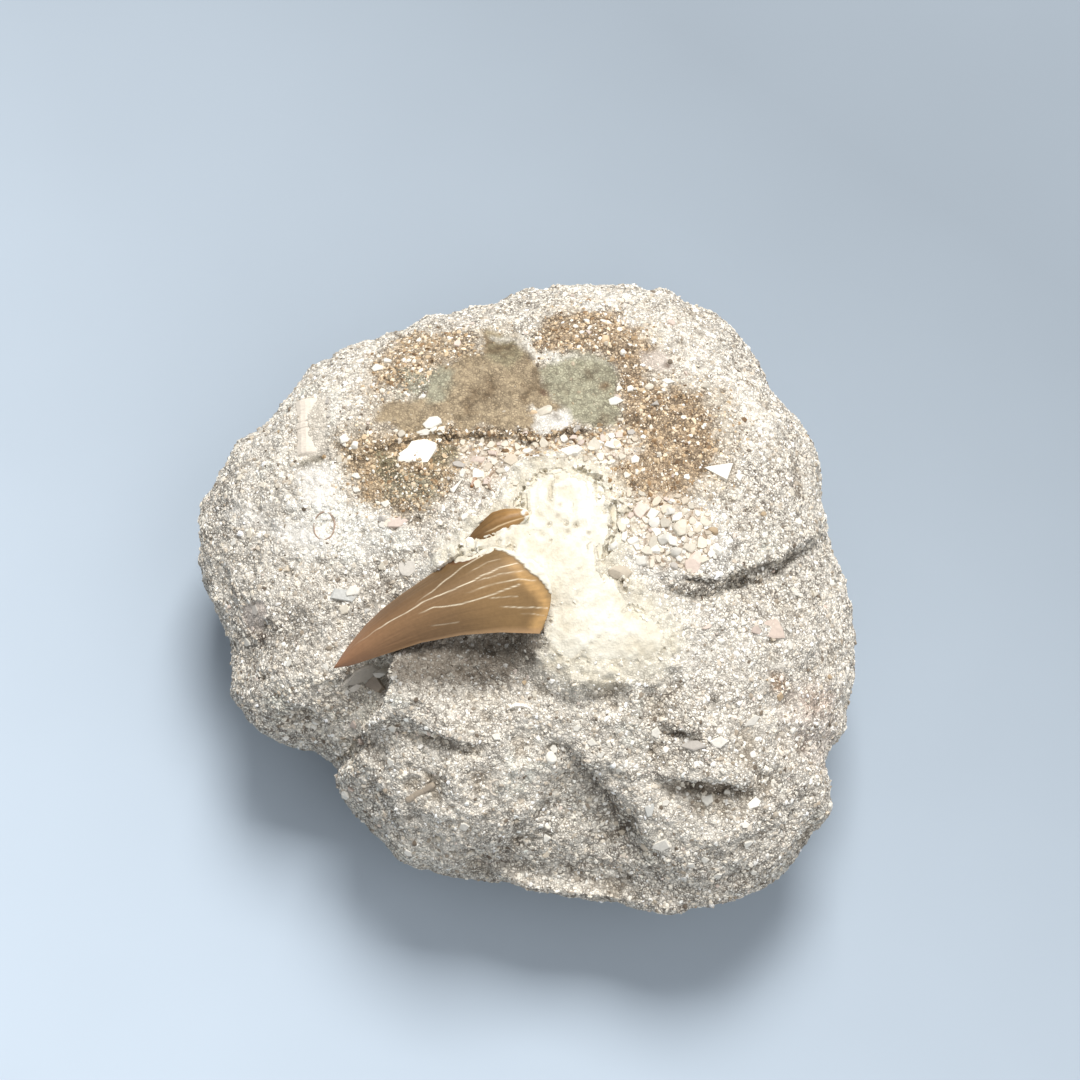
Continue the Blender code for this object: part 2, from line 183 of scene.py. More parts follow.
# ---------------------------------------------------------------- the skin's fine relief
# size of the feature, height, seed
FINE_RELIEF = [(2.4, 0.14, 11), (1.25, 0.13, 12), (0.7, 0.14, 13)]
GRAIN_RELIEF = [(1.3, 0.14, 25), (0.75, 0.20, 26)]  # rounded grains that the skin is made of
PIT_RELIEF = (3.1, 0.4, 21)  # size, depth, seed of the scattered pits
SIDE_RELIEF = [(6.5, 1.1, 31), (3.2, 0.6, 32)]  # more uneven where the rock was broken
FRONT_RELIEF = 0.85  # how much of it the front slope has
SMOOTH_RELIEF = 0.38  # share of the relief that stays on smooth skin

FILLET_SLOPE, FILLET_REACH = 0.30, 5.0  # how the skin climbs to the root beside it
ROOT_SHOWS = 0.12  # how far the root stands out of the skin it melts into
ROOT_TOPS_STEP = 3  # every third point of the root tells how high the skin rises
SHOULDER = 0.7  # how much higher than the root the rock may be where the root slopes off
FLANK = 0.72  # how level the root is at least where it shows
CHALK_REACH = 3.6  # how far its chalk is smeared over the rock

# Narrow cracks and the dark lines under small ledges, cut into the skin and darkened with painted shade: line,
# depth, half width
CRACKS = [
    {"line": [(-6.3, -11.7), (-5.2, -13.4), (-3.7, -13.8)], "depth": 0.6, "width": 0.35},
    {"line": [(-2.3, -22.0), (-0.3, -21.9), (1.7, -23.0)], "depth": 0.7, "width": 0.4},
    {"line": [(-19.6, -24.3), (-17.1, -24.6), (-14.2, -25.6), (-12.0, -25.8), (-9.4, -27.5),
              (-6.5, -28.2)], "depth": 0.8, "width": 0.5},
    {"line": [(-9.7, -40.8), (-6.5, -40.6)], "depth": 0.9, "width": 0.5},
    {"line": [(-8.6, -42.3), (-5.8, -42.2)], "depth": 0.8, "width": 0.5},
    {"line": [(-0.9, -36.5), (-0.6, -40.4)], "depth": 0.6, "width": 0.3},
    {"line": [(43.0, -21.2), (46.8, -21.8)], "depth": 0.6, "width": 0.35},
    {"line": [(41.5, -19.0), (42.5, -23.0), (41.0, -27.0)], "depth": 0.5, "width": 0.3},
    {"line": [(19.3, -25.2), (22.6, -25.7), (25.4, -26.4)], "depth": 0.8, "width": 0.4},
    {"line": [(19.8, -32.2), (24.1, -32.8), (33.0, -33.3)], "depth": 0.8, "width": 0.5},
    {"line": [(-7.7, 19.0), (-3.4, 19.5), (0.8, 18.8), (3.2, 18.4), (8.2, 18.6), (10.8, 19.6)],
     "depth": 0.35, "width": 0.3},
    {"line": [(20.0, -3.6), (26.4, -4.2), (32.0, -2.7), (37.9, 0.0), (41.7, 3.0)], "depth": 1.6,
     "width": 0.42},
    {"line": [(1.8, -27.4), (5.4, -27.2), (8.3, -28.6), (10.2, -31.2)], "depth": 0.9, "width": 0.5},
    {"line": [(3.7, -13.3), (5.2, -15.6), (7.2, -17.9)], "depth": 0.4, "width": 0.35},
    {"line": [(-33.0, 15.2), (-29.7, 16.2)], "depth": 0.7, "width": 0.5},
    {"line": [(8.1, -29.5), (11.1, -32.2), (13.5, -35.4), (16.2, -38.9)], "depth": 0.8, "width": 0.7},
    {"line": [(-11.5, 18.9), (-10.6, 18.2)], "depth": 1.0, "width": 0.7},
]
# Pits: x, y, radius, depth
PITS = [
    (-22.7, -26.2, 1.3, 1.2), (-20.4, -27.4, 1.0, 1.0), (-2.7, -41.8, 1.4, 1.0),
    (3.6, -13.4, 0.7, 0.9), (5.7, -16.9, 0.6, 0.7), (4.3, -15.2, 0.7, 0.9),
    (-22.1, 17.1, 0.6, 0.7), (-9.2, 21.8, 0.5, 0.6), (-38.5, -8.0, 1.0, 0.9),
    (-39.6, 0.0, 0.5, 0.6), (-33.9, -0.8, 0.5, 0.6), (-39.3, 9.0, 0.5, 0.5),
    (-34.7, 7.9, 0.5, 0.6), (36.3, -12.0, 0.7, 0.6), (-11.0, 18.5, 0.9, 0.9),
    (21.7, 30.3, 0.6, 0.2), (-16.0, -36.0, 0.8, 0.8), (27.0, -21.0, 0.7, 0.7),
]
# How much painted shade darkens the pits
PIT_SHADE = 0.5

# ---------------------------------------------------------------- regions of the upper side
# outline, softness of its edge, how far the edge strays and over what size
REGIONS = {
    "halo": ([(-21.8, 30.2), (-18.9, 37.5), (-12.7, 38.9), (-6.5, 38.0), (-0.4, 38.2),
              (4.9, 41.3), (11.7, 41.6), (18.1, 38.0), (21.8, 33.7), (22.3, 28.7), (29.3, 26.6),
              (31.9, 21.0), (30.6, 11.8), (27.2, 4.4), (19.9, 5.2), (14.9, 8.1), (12.1, 12.8),
              (9.4, 14.5), (5.5, 15.9), (-0.3, 17.1), (-6.2, 14.9), (-9.8, 10.1), (-13.5, 6.3),
              (-18.8, 6.0), (-24.3, 7.1), (-28.2, 13.1), (-28.0, 19.6), (-25.2, 25.4)],
             2.2, 2.6, 6.0),
    "grains left": ([(-19.0, 38.3), (-6.2, 37.4), (-6.2, 32.7), (-10.9, 31.9), (-13.6, 29.2),
                     (-19.4, 27.6), (-22.6, 26.0), (-23.0, 31.6)], 1.2, 1.6, 3.5),
    "grains top": ([(1.8, 36.3), (4.9, 40.0), (11.7, 40.6), (18.1, 37.0), (19.6, 33.7),
                    (18.2, 25.7), (14.7, 25.4), (13.8, 29.5), (12.0, 31.9), (9.8, 32.6),
                    (5.6, 32.4), (1.8, 33.0)], 1.0, 1.6, 3.5),
    "grains right": ([(13.7, 27.4), (19.6, 27.0), (26.3, 25.3), (28.4, 21.0), (27.4, 12.8),
                      (24.3, 6.7), (19.9, 6.2), (14.9, 8.1), (13.2, 12.8), (12.6, 19.2)],
                     1.6, 2.2, 4.0),
    "grains low": ([(-26.6, 18.5), (-21.3, 20.0), (-13.1, 19.4), (-7.7, 20.1), (-6.5, 15.0),
                    (-9.1, 12.2), (-13.4, 8.5), (-17.8, 7.9), (-23.8, 9.3), (-26.6, 14.1)],
                   1.4, 2.0, 4.0),
    "grains middle": ([(-8.0, 19.5), (2.8, 20.2), (8.0, 20.0), (12.5, 19.0), (10.5, 15.0),
                       (4.0, 15.6), (-1.0, 15.0), (-6.0, 15.6)], 0.9, 1.4, 3.0),
    "tan skin": ([(-13.4, 29.8), (-10.6, 31.6), (-6.2, 32.9), (-6.0, 37.4), (-1.0, 36.3),
                  (1.9, 32.2), (3.3, 25.9), (6.9, 22.5), (2.6, 20.1), (0.8, 19.3), (-3.4, 19.9),
                  (-7.7, 19.7), (-10.7, 20.9), (-13.1, 18.8), (-18.0, 19.6), (-22.0, 21.5),
                  (-19.9, 24.6), (-14.7, 25.4)], 0.35, 0.9, 3.0),
    "green top": ([(-5.8, 37.6), (-1.2, 36.0), (0.4, 32.6), (-2.0, 30.4), (-5.7, 31.8)],
                  0.8, 1.0, 3.0),
    "green": ([(2.4, 30.7), (5.4, 31.8), (9.8, 32.3), (12.0, 31.7), (13.8, 29.5), (13.4, 25.4),
               (15.0, 21.6), (13.8, 20.4), (10.4, 18.8), (8.0, 20.4), (6.3, 21.1), (6.9, 22.5),
               (2.6, 26.1)], 0.3, 0.8, 2.5),
    "mint": ([(-18.6, 30.0), (-10.6, 30.0), (-10.3, 26.4), (-13.5, 24.6), (-18.5, 25.6)],
             1.0, 1.8, 2.5),
    "mint low": ([(-20.5, 12.8), (-13.0, 12.3), (-12.6, 8.9), (-19.5, 9.2)], 1.0, 1.4, 2.5),
    "olive": ([(-13.4, 17.6), (-9.3, 17.7), (-9.0, 14.2), (-13.3, 14.2)], 0.6, 1.0, 2.0),
    "dark green": ([(-21.5, 16.2), (-18.2, 16.0), (-18.1, 12.5), (-21.4, 12.8)], 0.6, 1.0, 2.0),
    "splash": ([(1.0, 23.4), (3.4, 22.4), (6.4, 22.9), (7.4, 20.6), (5.6, 19.4), (3.3, 18.5),
                (1.5, 19.4), (2.2, 21.4)], 0.3, 0.8, 1.5),
    "cream": ([(-1.5, 13.9), (5.5, 15.2), (11.1, 12.9), (13.4, 7.8), (14.2, 1.9), (13.4, -3.0),
               (15.6, -4.8), (21.6, -8.0), (23.8, -11.6), (22.8, -15.4), (17.4, -18.1),
               (9.4, -19.2), (4.0, -16.0), (2.0, -9.6), (-2.0, -5.0), (-14.6, -1.6),
               (-12.6, 0.6), (-6.0, 5.4), (-2.6, 8.8)], 1.0, 1.8, 3.0),
    "chalk right": ([(12.0, 9.0), (21.0, 8.4), (28.6, 7.0), (31.0, 1.9), (29.0, -2.9),
                     (18.4, -3.2), (12.6, -1.6)], 1.6, 2.0, 3.0),
    "chalk low": ([(20.5, -5.6), (33.0, -6.6), (38.3, -11.5), (33.4, -17.0), (25.4, -19.4),
                   (15.8, -20.1), (8.0, -19.4), (12.0, -12.0)], 3.0, 3.0, 5.0),
    "chalk left": ([(-33.5, 15.3), (-29.2, 15.0), (-27.0, 12.6), (-26.4, 8.9), (-19.4, 6.5),
                    (-15.2, 2.3), (-22.7, -0.3), (-32.7, 0.7), (-34.8, 7.1), (-34.4, 11.5)],
                   1.8, 2.6, 4.0),
    "chalk streak": ([(8.2, 42.6), (12.5, 41.2), (16.9, 38.9), (18.7, 36.2), (16.9, 36.0),
                      (14.0, 38.4), (9.0, 40.6)], 0.6, 1.0, 2.0),
    "skin rim": ([(-0.8, 36.6), (0.4, 36.2), (2.2, 32.6), (5.6, 32.3), (5.4, 31.3), (2.0, 31.2)],
                 0.3, 0.5, 1.5),
    "shade": ([(-17.5, -11.8), (-11.7, -10.9), (-3.0, -10.6), (3.6, -11.6), (4.4, -14.5),
               (-0.1, -16.5), (-5.4, -18.6), (-11.9, -19.5), (-18.9, -18.5)], 2.0, 1.6, 4.0),
    "pink": ([(38.4, -18.1), (47.4, -16.7), (48.0, -24.0), (46.8, -29.0), (39.9, -28.4),
              (37.4, -23.0)], 1.6, 2.0, 4.0),
    "peach": ([(41.0, -17.6), (45.6, -17.9), (45.2, -21.0), (41.4, -21.4)], 0.8, 1.0, 2.0),
    # Two patches on the left where the skin is painted darker
    "darker patch": ([(-22.6, -3.2), (-16.6, -3.8), (-15.9, -7.6), (-22.6, -6.8)], 1.0, 1.4, 2.5),
    "darker patch left": ([(-36.0, -5.2), (-31.6, -5.6), (-31.4, -8.2), (-36.0, -7.9)], 0.9, 1.4, 2.5),
    "spot": ([(35.8, -16.4), (38.2, -16.4), (38.4, -18.8), (35.8, -18.9)], 0.5, 0.5, 1.5),
    "bone": ([(-33.6, 26.4), (-29.4, 26.6), (-28.8, 16.4), (-33.4, 15.6)], 0.3, 0.3, 1.2),
    "bone patch": ([(-33.6, 14.8), (-29.6, 15.0), (-27.4, 12.9), (-27.4, 9.2), (-31.0, 9.0),
                    (-33.6, 11.6)], 0.3, 0.9, 1.6),
    "chalk band": ([(-44.4, 11.6), (-42.0, 11.2), (-35.2, 6.6), (-27.6, 3.6), (-28.4, 1.6),
                    (-36.2, 4.4), (-43.8, 9.0)], 1.0, 1.4, 2.0),
    "fossil": ([(17.8, 32.4), (20.6, 33.2), (22.6, 31.4), (22.2, 29.2), (19.4, 29.0), (17.6, 30.4)],
               0.5, 0.5, 1.6),
    "rubble": ([(-9.8, 18.0), (-2.0, 18.2), (8.0, 18.0), (15.6, 19.4), (17.6, 16.6), (14.6, 13.4),
                (5.0, 14.6), (-1.0, 14.6), (-5.4, 9.6), (-9.6, 12.4)], 0.8, 1.2, 2.0),
    "cluster": ([(15.4, 9.2), (22.4, 8.8), (27.6, 5.4), (28.0, 0.4), (24.4, -2.8), (17.6, -1.2),
                 (13.6, 3.2)], 0.8, 1.2, 2.0),
    "fragment": ([(-41.8, -4.6), (-38.6, -4.2), (-37.4, -6.4), (-39.0, -9.0), (-41.4, -8.0)],
                 0.3, 0.7, 1.6),
    "root spot": ([(14.8, -5.0), (16.4, -5.0), (16.6, -6.6), (14.9, -6.7)], 0.4, 0.5, 1.5),
}
BROWN_REGIONS = ("grains left", "grains top", "grains right", "grains low", "grains middle")
SKIN_REGIONS = ("tan skin", "green top", "green", "splash")
FLAT_REGIONS = (*SKIN_REGIONS, "bone", "fossil", "fragment")

# ---------------------------------------------------------------- colours, as sRGB bytes
# The skin's colour in its low places (gap) and on its high places (pale), on top and underneath; the darker low
# places are partly the stone between the grains and partly painted shade
SKIN_COLOURS = {
    "gap": (194, 184, 168),
    "pale": (250, 244, 232),
    "under gap": (170, 160, 144),
    "under pale": (230, 222, 207),
}
# Paint over the skin, in order: region, colour of its low places, of its high places, strength
PAINT = [
    ("halo", (150, 130, 104), (210, 194, 168), 0.50),
    ("chalk left", (212, 206, 193), (251, 248, 239), 0.75),
    ("chalk right", (214, 207, 192), (251, 248, 240), 0.80),
    ("chalk low", (190, 181, 166), (242, 238, 228), 0.50),
    ("chalk streak", (200, 190, 172), (250, 248, 240), 0.80),
    ("grains left", (140, 118, 92), (210, 190, 162), 0.88),
    ("grains top", (122, 100, 74), (192, 168, 138), 0.88),
    ("grains right", (126, 102, 76), (194, 169, 138), 0.88),
    ("grains low", (130, 108, 80), (202, 178, 144), 0.88),
    ("grains middle", (112, 92, 68), (190, 168, 138), 0.88),
    ("tan skin", (126, 107, 79), (178, 160, 131), 0.96),
    ("green top", (128, 121, 94), (160, 153, 125), 0.80),
    ("mint", (124, 127, 106), (176, 177, 156), 0.75),
    ("mint low", (126, 128, 106), (178, 178, 156), 0.65),
    ("olive", (112, 106, 84), (150, 144, 116), 0.75),
    ("dark green", (98, 96, 76), (142, 140, 112), 0.75),
    ("green", (136, 134, 110), (180, 177, 152), 0.94),
    ("splash", (204, 198, 186), (238, 235, 227), 0.95),
    ("skin rim", (216, 210, 194), (248, 246, 236), 0.85),
    ("cream", (216, 208, 188), (242, 238, 225), 0.92),
    ("shade", (64, 58, 50), (116, 108, 97), 0.90),
    ("pink", (206, 190, 176), (244, 233, 222), 0.75),
    ("peach", (212, 180, 156), (238, 212, 192), 0.60),
    # the skin painted darker in two patches on the left
    ("darker patch", (96, 88, 78), (160, 152, 140), 0.60),
    ("darker patch left", (100, 92, 82), (170, 162, 150), 0.60),
    ("spot", (140, 104, 74), (182, 146, 112), 0.75),
    ("bone", (190, 180, 163), (222, 214, 200), 0.85),
    ("bone patch", (190, 184, 172), (236, 232, 224), 0.85),
    ("chalk band", (204, 198, 187), (242, 239, 232), 0.70),
    ("fossil", (176, 160, 146), (220, 208, 197), 0.85),
    ("fragment", (204, 188, 176), (236, 224, 213), 0.90),
    ("rubble", (172, 154, 130), (236, 226, 210), 0.90),
    ("cluster", (166, 144, 118), (230, 218, 200), 0.85),
    ("root spot", (150, 118, 84), (196, 168, 134), 0.80),
]
MOTTLE_COLOUR, MOTTLE = (94, 73, 49), 0.70  # brown clouds and specks over the painted skins
# Narrow marks over the skin: line, half width, colour, strength
PAINTED_LINES = [
    ([(-4.4, 35.8), (-1.3, 35.4), (1.3, 33.0), (2.5, 31.4), (4.8, 31.0), (7.5, 32.0)], 0.45,
     (236, 232, 222), 0.9),
    ([(14.2, 26.2), (15.0, 24.0), (14.6, 21.4)], 0.35, (240, 234, 220), 0.6),
    ([(-15.6, -3.2), (-12.4, 0.2), (-9.4, 1.8), (-7.0, 2.0)], 1.2, (246, 243, 235), 0.85),
    ([(7.5, 32.0), (12.2, 31.2), (13.6, 29.8)], 0.3, (226, 222, 208), 0.7),
    ([(-29.0, 26.2), (-28.6, 16.6)], 0.16, (128, 118, 100), 0.6),
    ([(-33.8, 25.6), (-33.6, 16.0)], 0.16, (128, 118, 100), 0.5),
    ([(-33.4, 20.7), (-28.8, 21.0)], 0.12, (134, 122, 102), 0.7),
    ([(-33.2, 15.5), (-31.4, 15.9), (-29.6, 16.2)], 0.40, (112, 106, 80), 0.8),
    # a painted shadow along the lower edge of the root
    ([(8.2, -17.6), (14.0, -17.2), (19.0, -15.4), (21.8, -12.6)], 0.25, (150, 138, 120), 0.5),
    ([(41.2, -18.6), (42.2, -23.0), (41.0, -26.6)], 0.18, (140, 112, 92), 0.6),
]
# Round stains: x, y, radius, colour
STAINS = [
    (3.3, 25.9, 0.55, (104, 66, 50)), (-14.6, 26.2, 0.5, (100, 68, 50)), (12.0, 26.6, 0.7, (150, 116, 82)),
    (-8.0, 22.0, 0.4, (92, 78, 58)), (21.7, 30.3, 0.5, (112, 88, 70)), (-38.4, -9.4, 0.8, (96, 70, 56)),
    (14.6, -5.3, 0.7, (158, 122, 86)), (6.4, -4.6, 0.35, (170, 150, 120)),
]
# Painted shade in the cracks, pits and grooves
CREVICE_SHADE_COLOUR = (64, 56, 47)
# Painted shadow: the dark lines in the gaps between the skin's grains
GAP_SHADOW_COLOUR = (84, 72, 59)
SEAM_COLOUR = (122, 94, 66)

# What the loose grains are made of: share, colour
GRAIN_PALETTES = {
    "rock": [
        (0.20, (248, 245, 238)), (0.28, (234, 228, 215)), (0.24, (218, 209, 194)),
        (0.14, (192, 181, 165)), (0.08, (158, 146, 130)), (0.04, (118, 106, 92)),
        (0.02, (228, 214, 202)),
    ],
    "brown": [
        (0.22, (228, 210, 182)), (0.26, (204, 182, 150)), (0.20, (178, 152, 119)),
        (0.13, (148, 121, 90)), (0.09, (112, 89, 65)), (0.10, (244, 236, 222)),
    ],
    "chalk": [
        (0.44, (250, 248, 242)), (0.34, (241, 236, 226)), (0.16, (226, 219, 206)),
        (0.06, (204, 195, 180)),
    ],
    "under": [
        (0.14, (242, 237, 226)), (0.30, (222, 214, 199)), (0.32, (200, 190, 173)),
        (0.16, (172, 161, 144)), (0.08, (134, 122, 107)),
    ],
}
GRAIN_TONE_SPREAD = 0.10
# The three layers of grains: how many, smallest and largest radius, faces of each, seed
GRAIN_LAYERS = [
    {"name": "grains_fine_a", "count": 22000, "radii": (0.14, 0.26), "shape": "octahedron",
     "seed": 101},
    {"name": "grains_fine_b", "count": 22000, "radii": (0.14, 0.26), "shape": "octahedron",
     "seed": 102},
    {"name": "grains_coarse", "count": 9400, "radii": (0.24, 0.46), "shape": "icosahedron",
     "seed": 103},
]
GRAIN_SINK = 0.22  # how deep a grain sits, as a share of its radius
GRAIN_THICKNESS = 0.60  # of its width: most are flakes that lie along the skin
GRAIN_TILT = 0.40
GRAIN_STRETCH = 0.40
GRAIN_JITTER = 0.25
UNDER_DENSITY = 0.30
SMOOTH_DENSITY = 0.05
CREAM_DENSITY = 0.12

# ---------------------------------------------------------------- bits of shell and bone
WHITE, CREAM, PINK = (228, 224, 214), (214, 206, 190), (206, 190, 178)
GREY, GLASS, BEIGE, TAN = (182, 176, 168), (196, 196, 191), (206, 194, 175), (178, 157, 128)
AMBER, DARK, PALE_TAN = (140, 96, 50), (128, 116, 102), (208, 184, 152)
# Flat angular chips: x, y, length, width, height, turn, corners, colour
CHIPS = [
    (-15.2, 16.1, 4.7, 3.9, 0.5, 10, 11, (236, 231, 219)), (-16.6, -1.4, 2.8, 2.4, 0.35, 15, 9, (208, 202, 192)),
    (36.3, -10.0, 3.0, 3.4, 0.3, 15, 7, (220, 202, 188)), (-13.2, 20.9, 2.6, 1.9, 0.4, 20, 7, WHITE),
    (-12.0, 19.6, 1.6, 1.2, 0.4, 50, 5, WHITE), (7.4, 15.9, 2.6, 2.0, 0.4, 0, 7, WHITE),
    (10.6, 16.6, 2.4, 1.9, 0.4, 30, 6, CREAM), (13.4, 16.9, 2.6, 1.8, 0.4, -10, 7, WHITE),
    (-21.8, 30.9, 1.9, 1.6, 0.5, 20, 4, WHITE), (-24.6, 28.7, 1.3, 0.9, 0.4, 60, 4, WHITE),
    (-26.9, 26.9, 1.2, 0.8, 0.4, 10, 4, WHITE), (-35.9, 14.1, 1.5, 0.8, 0.4, 80, 4, WHITE),
    (-43.3, 4.9, 1.4, 0.9, 0.4, 40, 4, WHITE), (-40.5, 6.1, 1.1, 0.8, 0.4, 0, 5, WHITE),
    (-19.9, 8.3, 1.5, 1.0, 0.5, 10, 4, WHITE), (7.9, 37.0, 0.9, 0.8, 0.4, 0, 5, WHITE),
    (8.9, 36.0, 0.9, 0.7, 0.4, 30, 5, WHITE), (10.1, 36.8, 1.1, 0.7, 0.4, 50, 4, WHITE),
    (19.7, 34.5, 0.9, 0.8, 0.4, 0, 5, WHITE), (21.6, 27.2, 1.8, 1.0, 0.5, -15, 4, WHITE),
    (16.4, 14.3, 1.4, 1.2, 0.5, 20, 5, WHITE), (17.7, 17.9, 1.0, 0.8, 0.4, 0, 4, WHITE),
    (31.9, 30.6, 1.0, 0.8, 0.4, 0, 5, WHITE), (13.8, 24.0, 2.3, 1.5, 0.5, 5, 5, WHITE),
    (28.8, 13.2, 4.4, 3.8, 0.7, -90, 3, WHITE), (7.9, -24.6, 1.1, 0.9, 0.4, 15, 4, WHITE),
    (10.0, -26.7, 1.4, 1.0, 0.5, -20, 4, WHITE), (3.5, -38.9, 1.2, 1.0, 0.5, 0, 5, WHITE),
    (33.0, -23.3, 2.2, 1.3, 0.5, 20, 5, WHITE), (19.1, -25.3, 1.7, 1.4, 0.5, 10, 4, WHITE),
    (28.0, -26.7, 2.3, 2.0, 0.6, 12, 4, WHITE), (33.4, -34.5, 2.1, 1.7, 0.6, 25, 5, WHITE),
    (26.7, -34.1, 2.0, 1.6, 0.6, -10, 5, WHITE), (20.6, -34.6, 1.3, 1.0, 0.5, 0, 4, WHITE),
    (13.9, -30.2, 1.2, 0.9, 0.4, 0, 5, WHITE), (24.5, -42.9, 1.4, 1.1, 0.5, 0, 5, WHITE),
    (28.4, -44.2, 1.3, 1.0, 0.5, 30, 4, WHITE), (20.2, -40.2, 2.6, 1.8, 0.7, 10, 5, WHITE),
    (32.1, -37.6, 1.3, 1.0, 0.5, 0, 5, WHITE), (11.2, -28.3, 1.2, 1.0, 0.4, 0, 4, WHITE),
    (-9.3, 10.5, 2.8, 1.9, 0.7, 40, 3, WHITE), (-7.0, 11.3, 2.1, 0.6, 0.4, 70, 4, AMBER),
    
    (-25.9, -4.8, 4.6, 2.3, 0.7, -8, 5, GLASS), (-24.6, -4.4, 2.4, 1.4, 0.8, 20, 4, WHITE),
    (-18.0, 5.4, 3.3, 2.0, 0.4, 0, 5, PINK),
    (24.4, -27.0, 3.6, 1.5, 0.5, -8, 4, GREY), (18.3, -35.6, 2.0, 1.8, 0.5, 15, 5, GLASS),
    (26.6, -10.4, 1.8, 0.6, 0.4, 25, 4, PINK), 
    (33.8, -10.5, 1.6, 1.4, 0.5, 0, 5, PINK), 
    
    
    (-39.6, -5.4, 1.4, 1.4, 0.6, 0, 4, GREY), (-14.6, 19.3, 2.0, 1.2, 0.5, 10, 5, WHITE),
    (-13.0, 20.0, 1.3, 0.9, 0.4, 60, 4, WHITE), (12.5, 37.9, 2.0, 0.8, 0.4, -20, 5, WHITE),
    (-0.9, 10.6, 1.0, 0.8, 0.4, 10, 5, CREAM), (40.0, -4.0, 1.3, 1.0, 0.4, 10, 4, WHITE),
    (38.0, 16.0, 1.2, 0.9, 0.4, 40, 4, WHITE), (-34.0, -14.0, 1.4, 1.0, 0.4, 30, 4, WHITE),
]
# Rounded pebbles and grains: x, y, length, width, height, turn, colour
PEBBLES = [
    (-26.5, 18.7, 1.7, 1.6, 1.1, 0, WHITE), (-24.8, 17.6, 1.5, 1.4, 1.0, 0, WHITE),
    (-17.2, 15.4, 2.2, 2.0, 1.1, 0, WHITE),
    (-6.1, 17.4, 0.9, 0.9, 0.7, 0, WHITE), (-6.6, 15.0, 2.1, 1.5, 0.9, 10, PINK),
    (12.5, 34.6, 1.6, 1.5, 1.0, 0, PALE_TAN), (15.0, 32.4, 1.2, 1.2, 0.9, 0, WHITE),
    
    (3.2, 22.6, 2.4, 1.8, 0.9, 20, CREAM), (1.6, 22.4, 1.2, 1.0, 0.7, 0, PALE_TAN),
    (4.3, -28.4, 1.8, 1.7, 1.2, 0, WHITE), (21.2, 6.3, 1.9, 1.7, 1.2, 0, WHITE),
    (19.0, 4.7, 1.7, 1.6, 1.2, 0, WHITE), (23.0, 3.5, 2.7, 2.3, 1.3, 60, CREAM),
    (20.7, 2.3, 2.2, 2.0, 1.4, 0, WHITE), (19.3, 0.7, 1.6, 1.5, 1.1, 0, WHITE),
    (17.2, -1.0, 2.0, 1.6, 1.2, 0, WHITE), (22.1, 0.2, 1.7, 1.5, 1.1, 0, WHITE),
    (21.8, -1.9, 1.4, 1.2, 1.0, 0, GREY), (24.6, -1.3, 3.2, 2.3, 1.5, 80, PINK),
    (14.1, -2.9, 3.5, 1.9, 1.1, -5, BEIGE), (13.1, 1.0, 1.6, 1.4, 1.0, 0, WHITE),
    (16.0, 1.9, 1.8, 1.5, 1.1, 0, WHITE), (25.1, 3.9, 1.6, 1.4, 1.0, 0, WHITE),
    (27.6, 3.3, 1.5, 1.3, 1.0, 0, TAN), (25.4, -3.0, 1.5, 1.2, 1.0, 0, WHITE),
    (28.1, 0.2, 1.4, 1.2, 0.9, 0, WHITE), (17.9, 6.9, 1.3, 1.1, 0.9, 0, WHITE),
    (14.9, 4.6, 1.4, 1.2, 0.9, 0, WHITE), (23.6, 6.2, 1.2, 1.1, 0.8, 0, CREAM),
    
    (-24.5, -16.9, 2.0, 1.1, 0.7, 10, GREY), (22.0, 31.0, 0.9, 0.8, 0.6, 0, DARK),
]
# A chunk of glassy shell under the tip of the crown, as a row of chips
TIP_CHUNK = [
    (-23.4, -15.6, 5.6, 2.8, 1.8, 12, 6, (190, 184, 174)),
    (-20.9, -15.4, 2.6, 1.0, 1.9, 15, 4, WHITE),
    (-21.5, -17.0, 2.8, 2.2, 1.5, -20, 5, (160, 148, 134)),
    (-24.3, -17.4, 2.2, 1.0, 1.2, 20, 4, (226, 220, 210)),
]
CHIP_HEIGHT, PEBBLE_HEIGHT = 0.5, 0.55  # bits stand this much lower than their rows say
CHIP_SPREAD = 1.14  # makes up for the corners that are drawn in
SCATTERED = {"count": 520, "sizes": (0.6, 1.5), "seed": 301}
# Rubble of close-set broken shell: outline, how many, sizes, seed
RUBBLE = [
    ([(-9.8, 18.0), (-2.0, 18.2), (8.0, 18.0), (15.6, 19.4), (17.6, 16.6), (14.6, 13.4), (5.0, 14.6),
      (-1.0, 14.6), (-5.4, 9.6), (-9.6, 12.4)], 60, (0.5, 2.0), 311),
    ([(15.4, 9.2), (22.4, 8.8), (27.6, 5.4), (28.0, 0.4), (24.4, -2.8), (17.6, -1.2), (13.6, 3.2)],
     55, (0.7, 2.4), 312),
]
RUBBLE_COLOURS = [(0.24, WHITE), (0.36, CREAM), (0.22, BEIGE), (0.12, PINK), (0.06, GREY)]
RUBBLE_TRIES = 40
SCATTER_COLOURS = [
    (0.46, WHITE), (0.26, CREAM), (0.12, BEIGE), (0.06, PINK), (0.05, GREY), (0.03, TAN),
    (0.02, DARK),
]
TUBE_BONE = {"ends": ((-31.9, 26.7), (-31.2, 16.6)), "radius": 2.7, "sink": 0.74,
             "bands": (0.42, 0.53), "colour": (222, 212, 198)}
ROD = {"ends": ((-16.8, -34.1), (-12.6, -31.9)), "radius": 0.5, "sink": 0.1,
       "bands": (0.3, 0.62), "colour": (160, 148, 132)}
RING = {"at": (-29.1, 5.7), "radii": (1.55, 2.1), "thick": 0.12, "colour": (164, 142, 126)}
ARCS = [  # curved edges of broken shells: centre, radius, from and to in degrees, thickness, colour
    {"at": (-3.1, 11.2), "radius": 1.9, "span": (115, 245), "thick": 0.28, "colour": (150, 130, 110)},
    {"at": (-3.6, -32.6), "radius": 1.0, "span": (60, 300), "thick": 0.2, "colour": (214, 204, 190)},
    {"at": (-0.4, -24.0), "radius": 2.7, "span": (50, 130), "thick": 0.35, "colour": (244, 240, 232)},
]

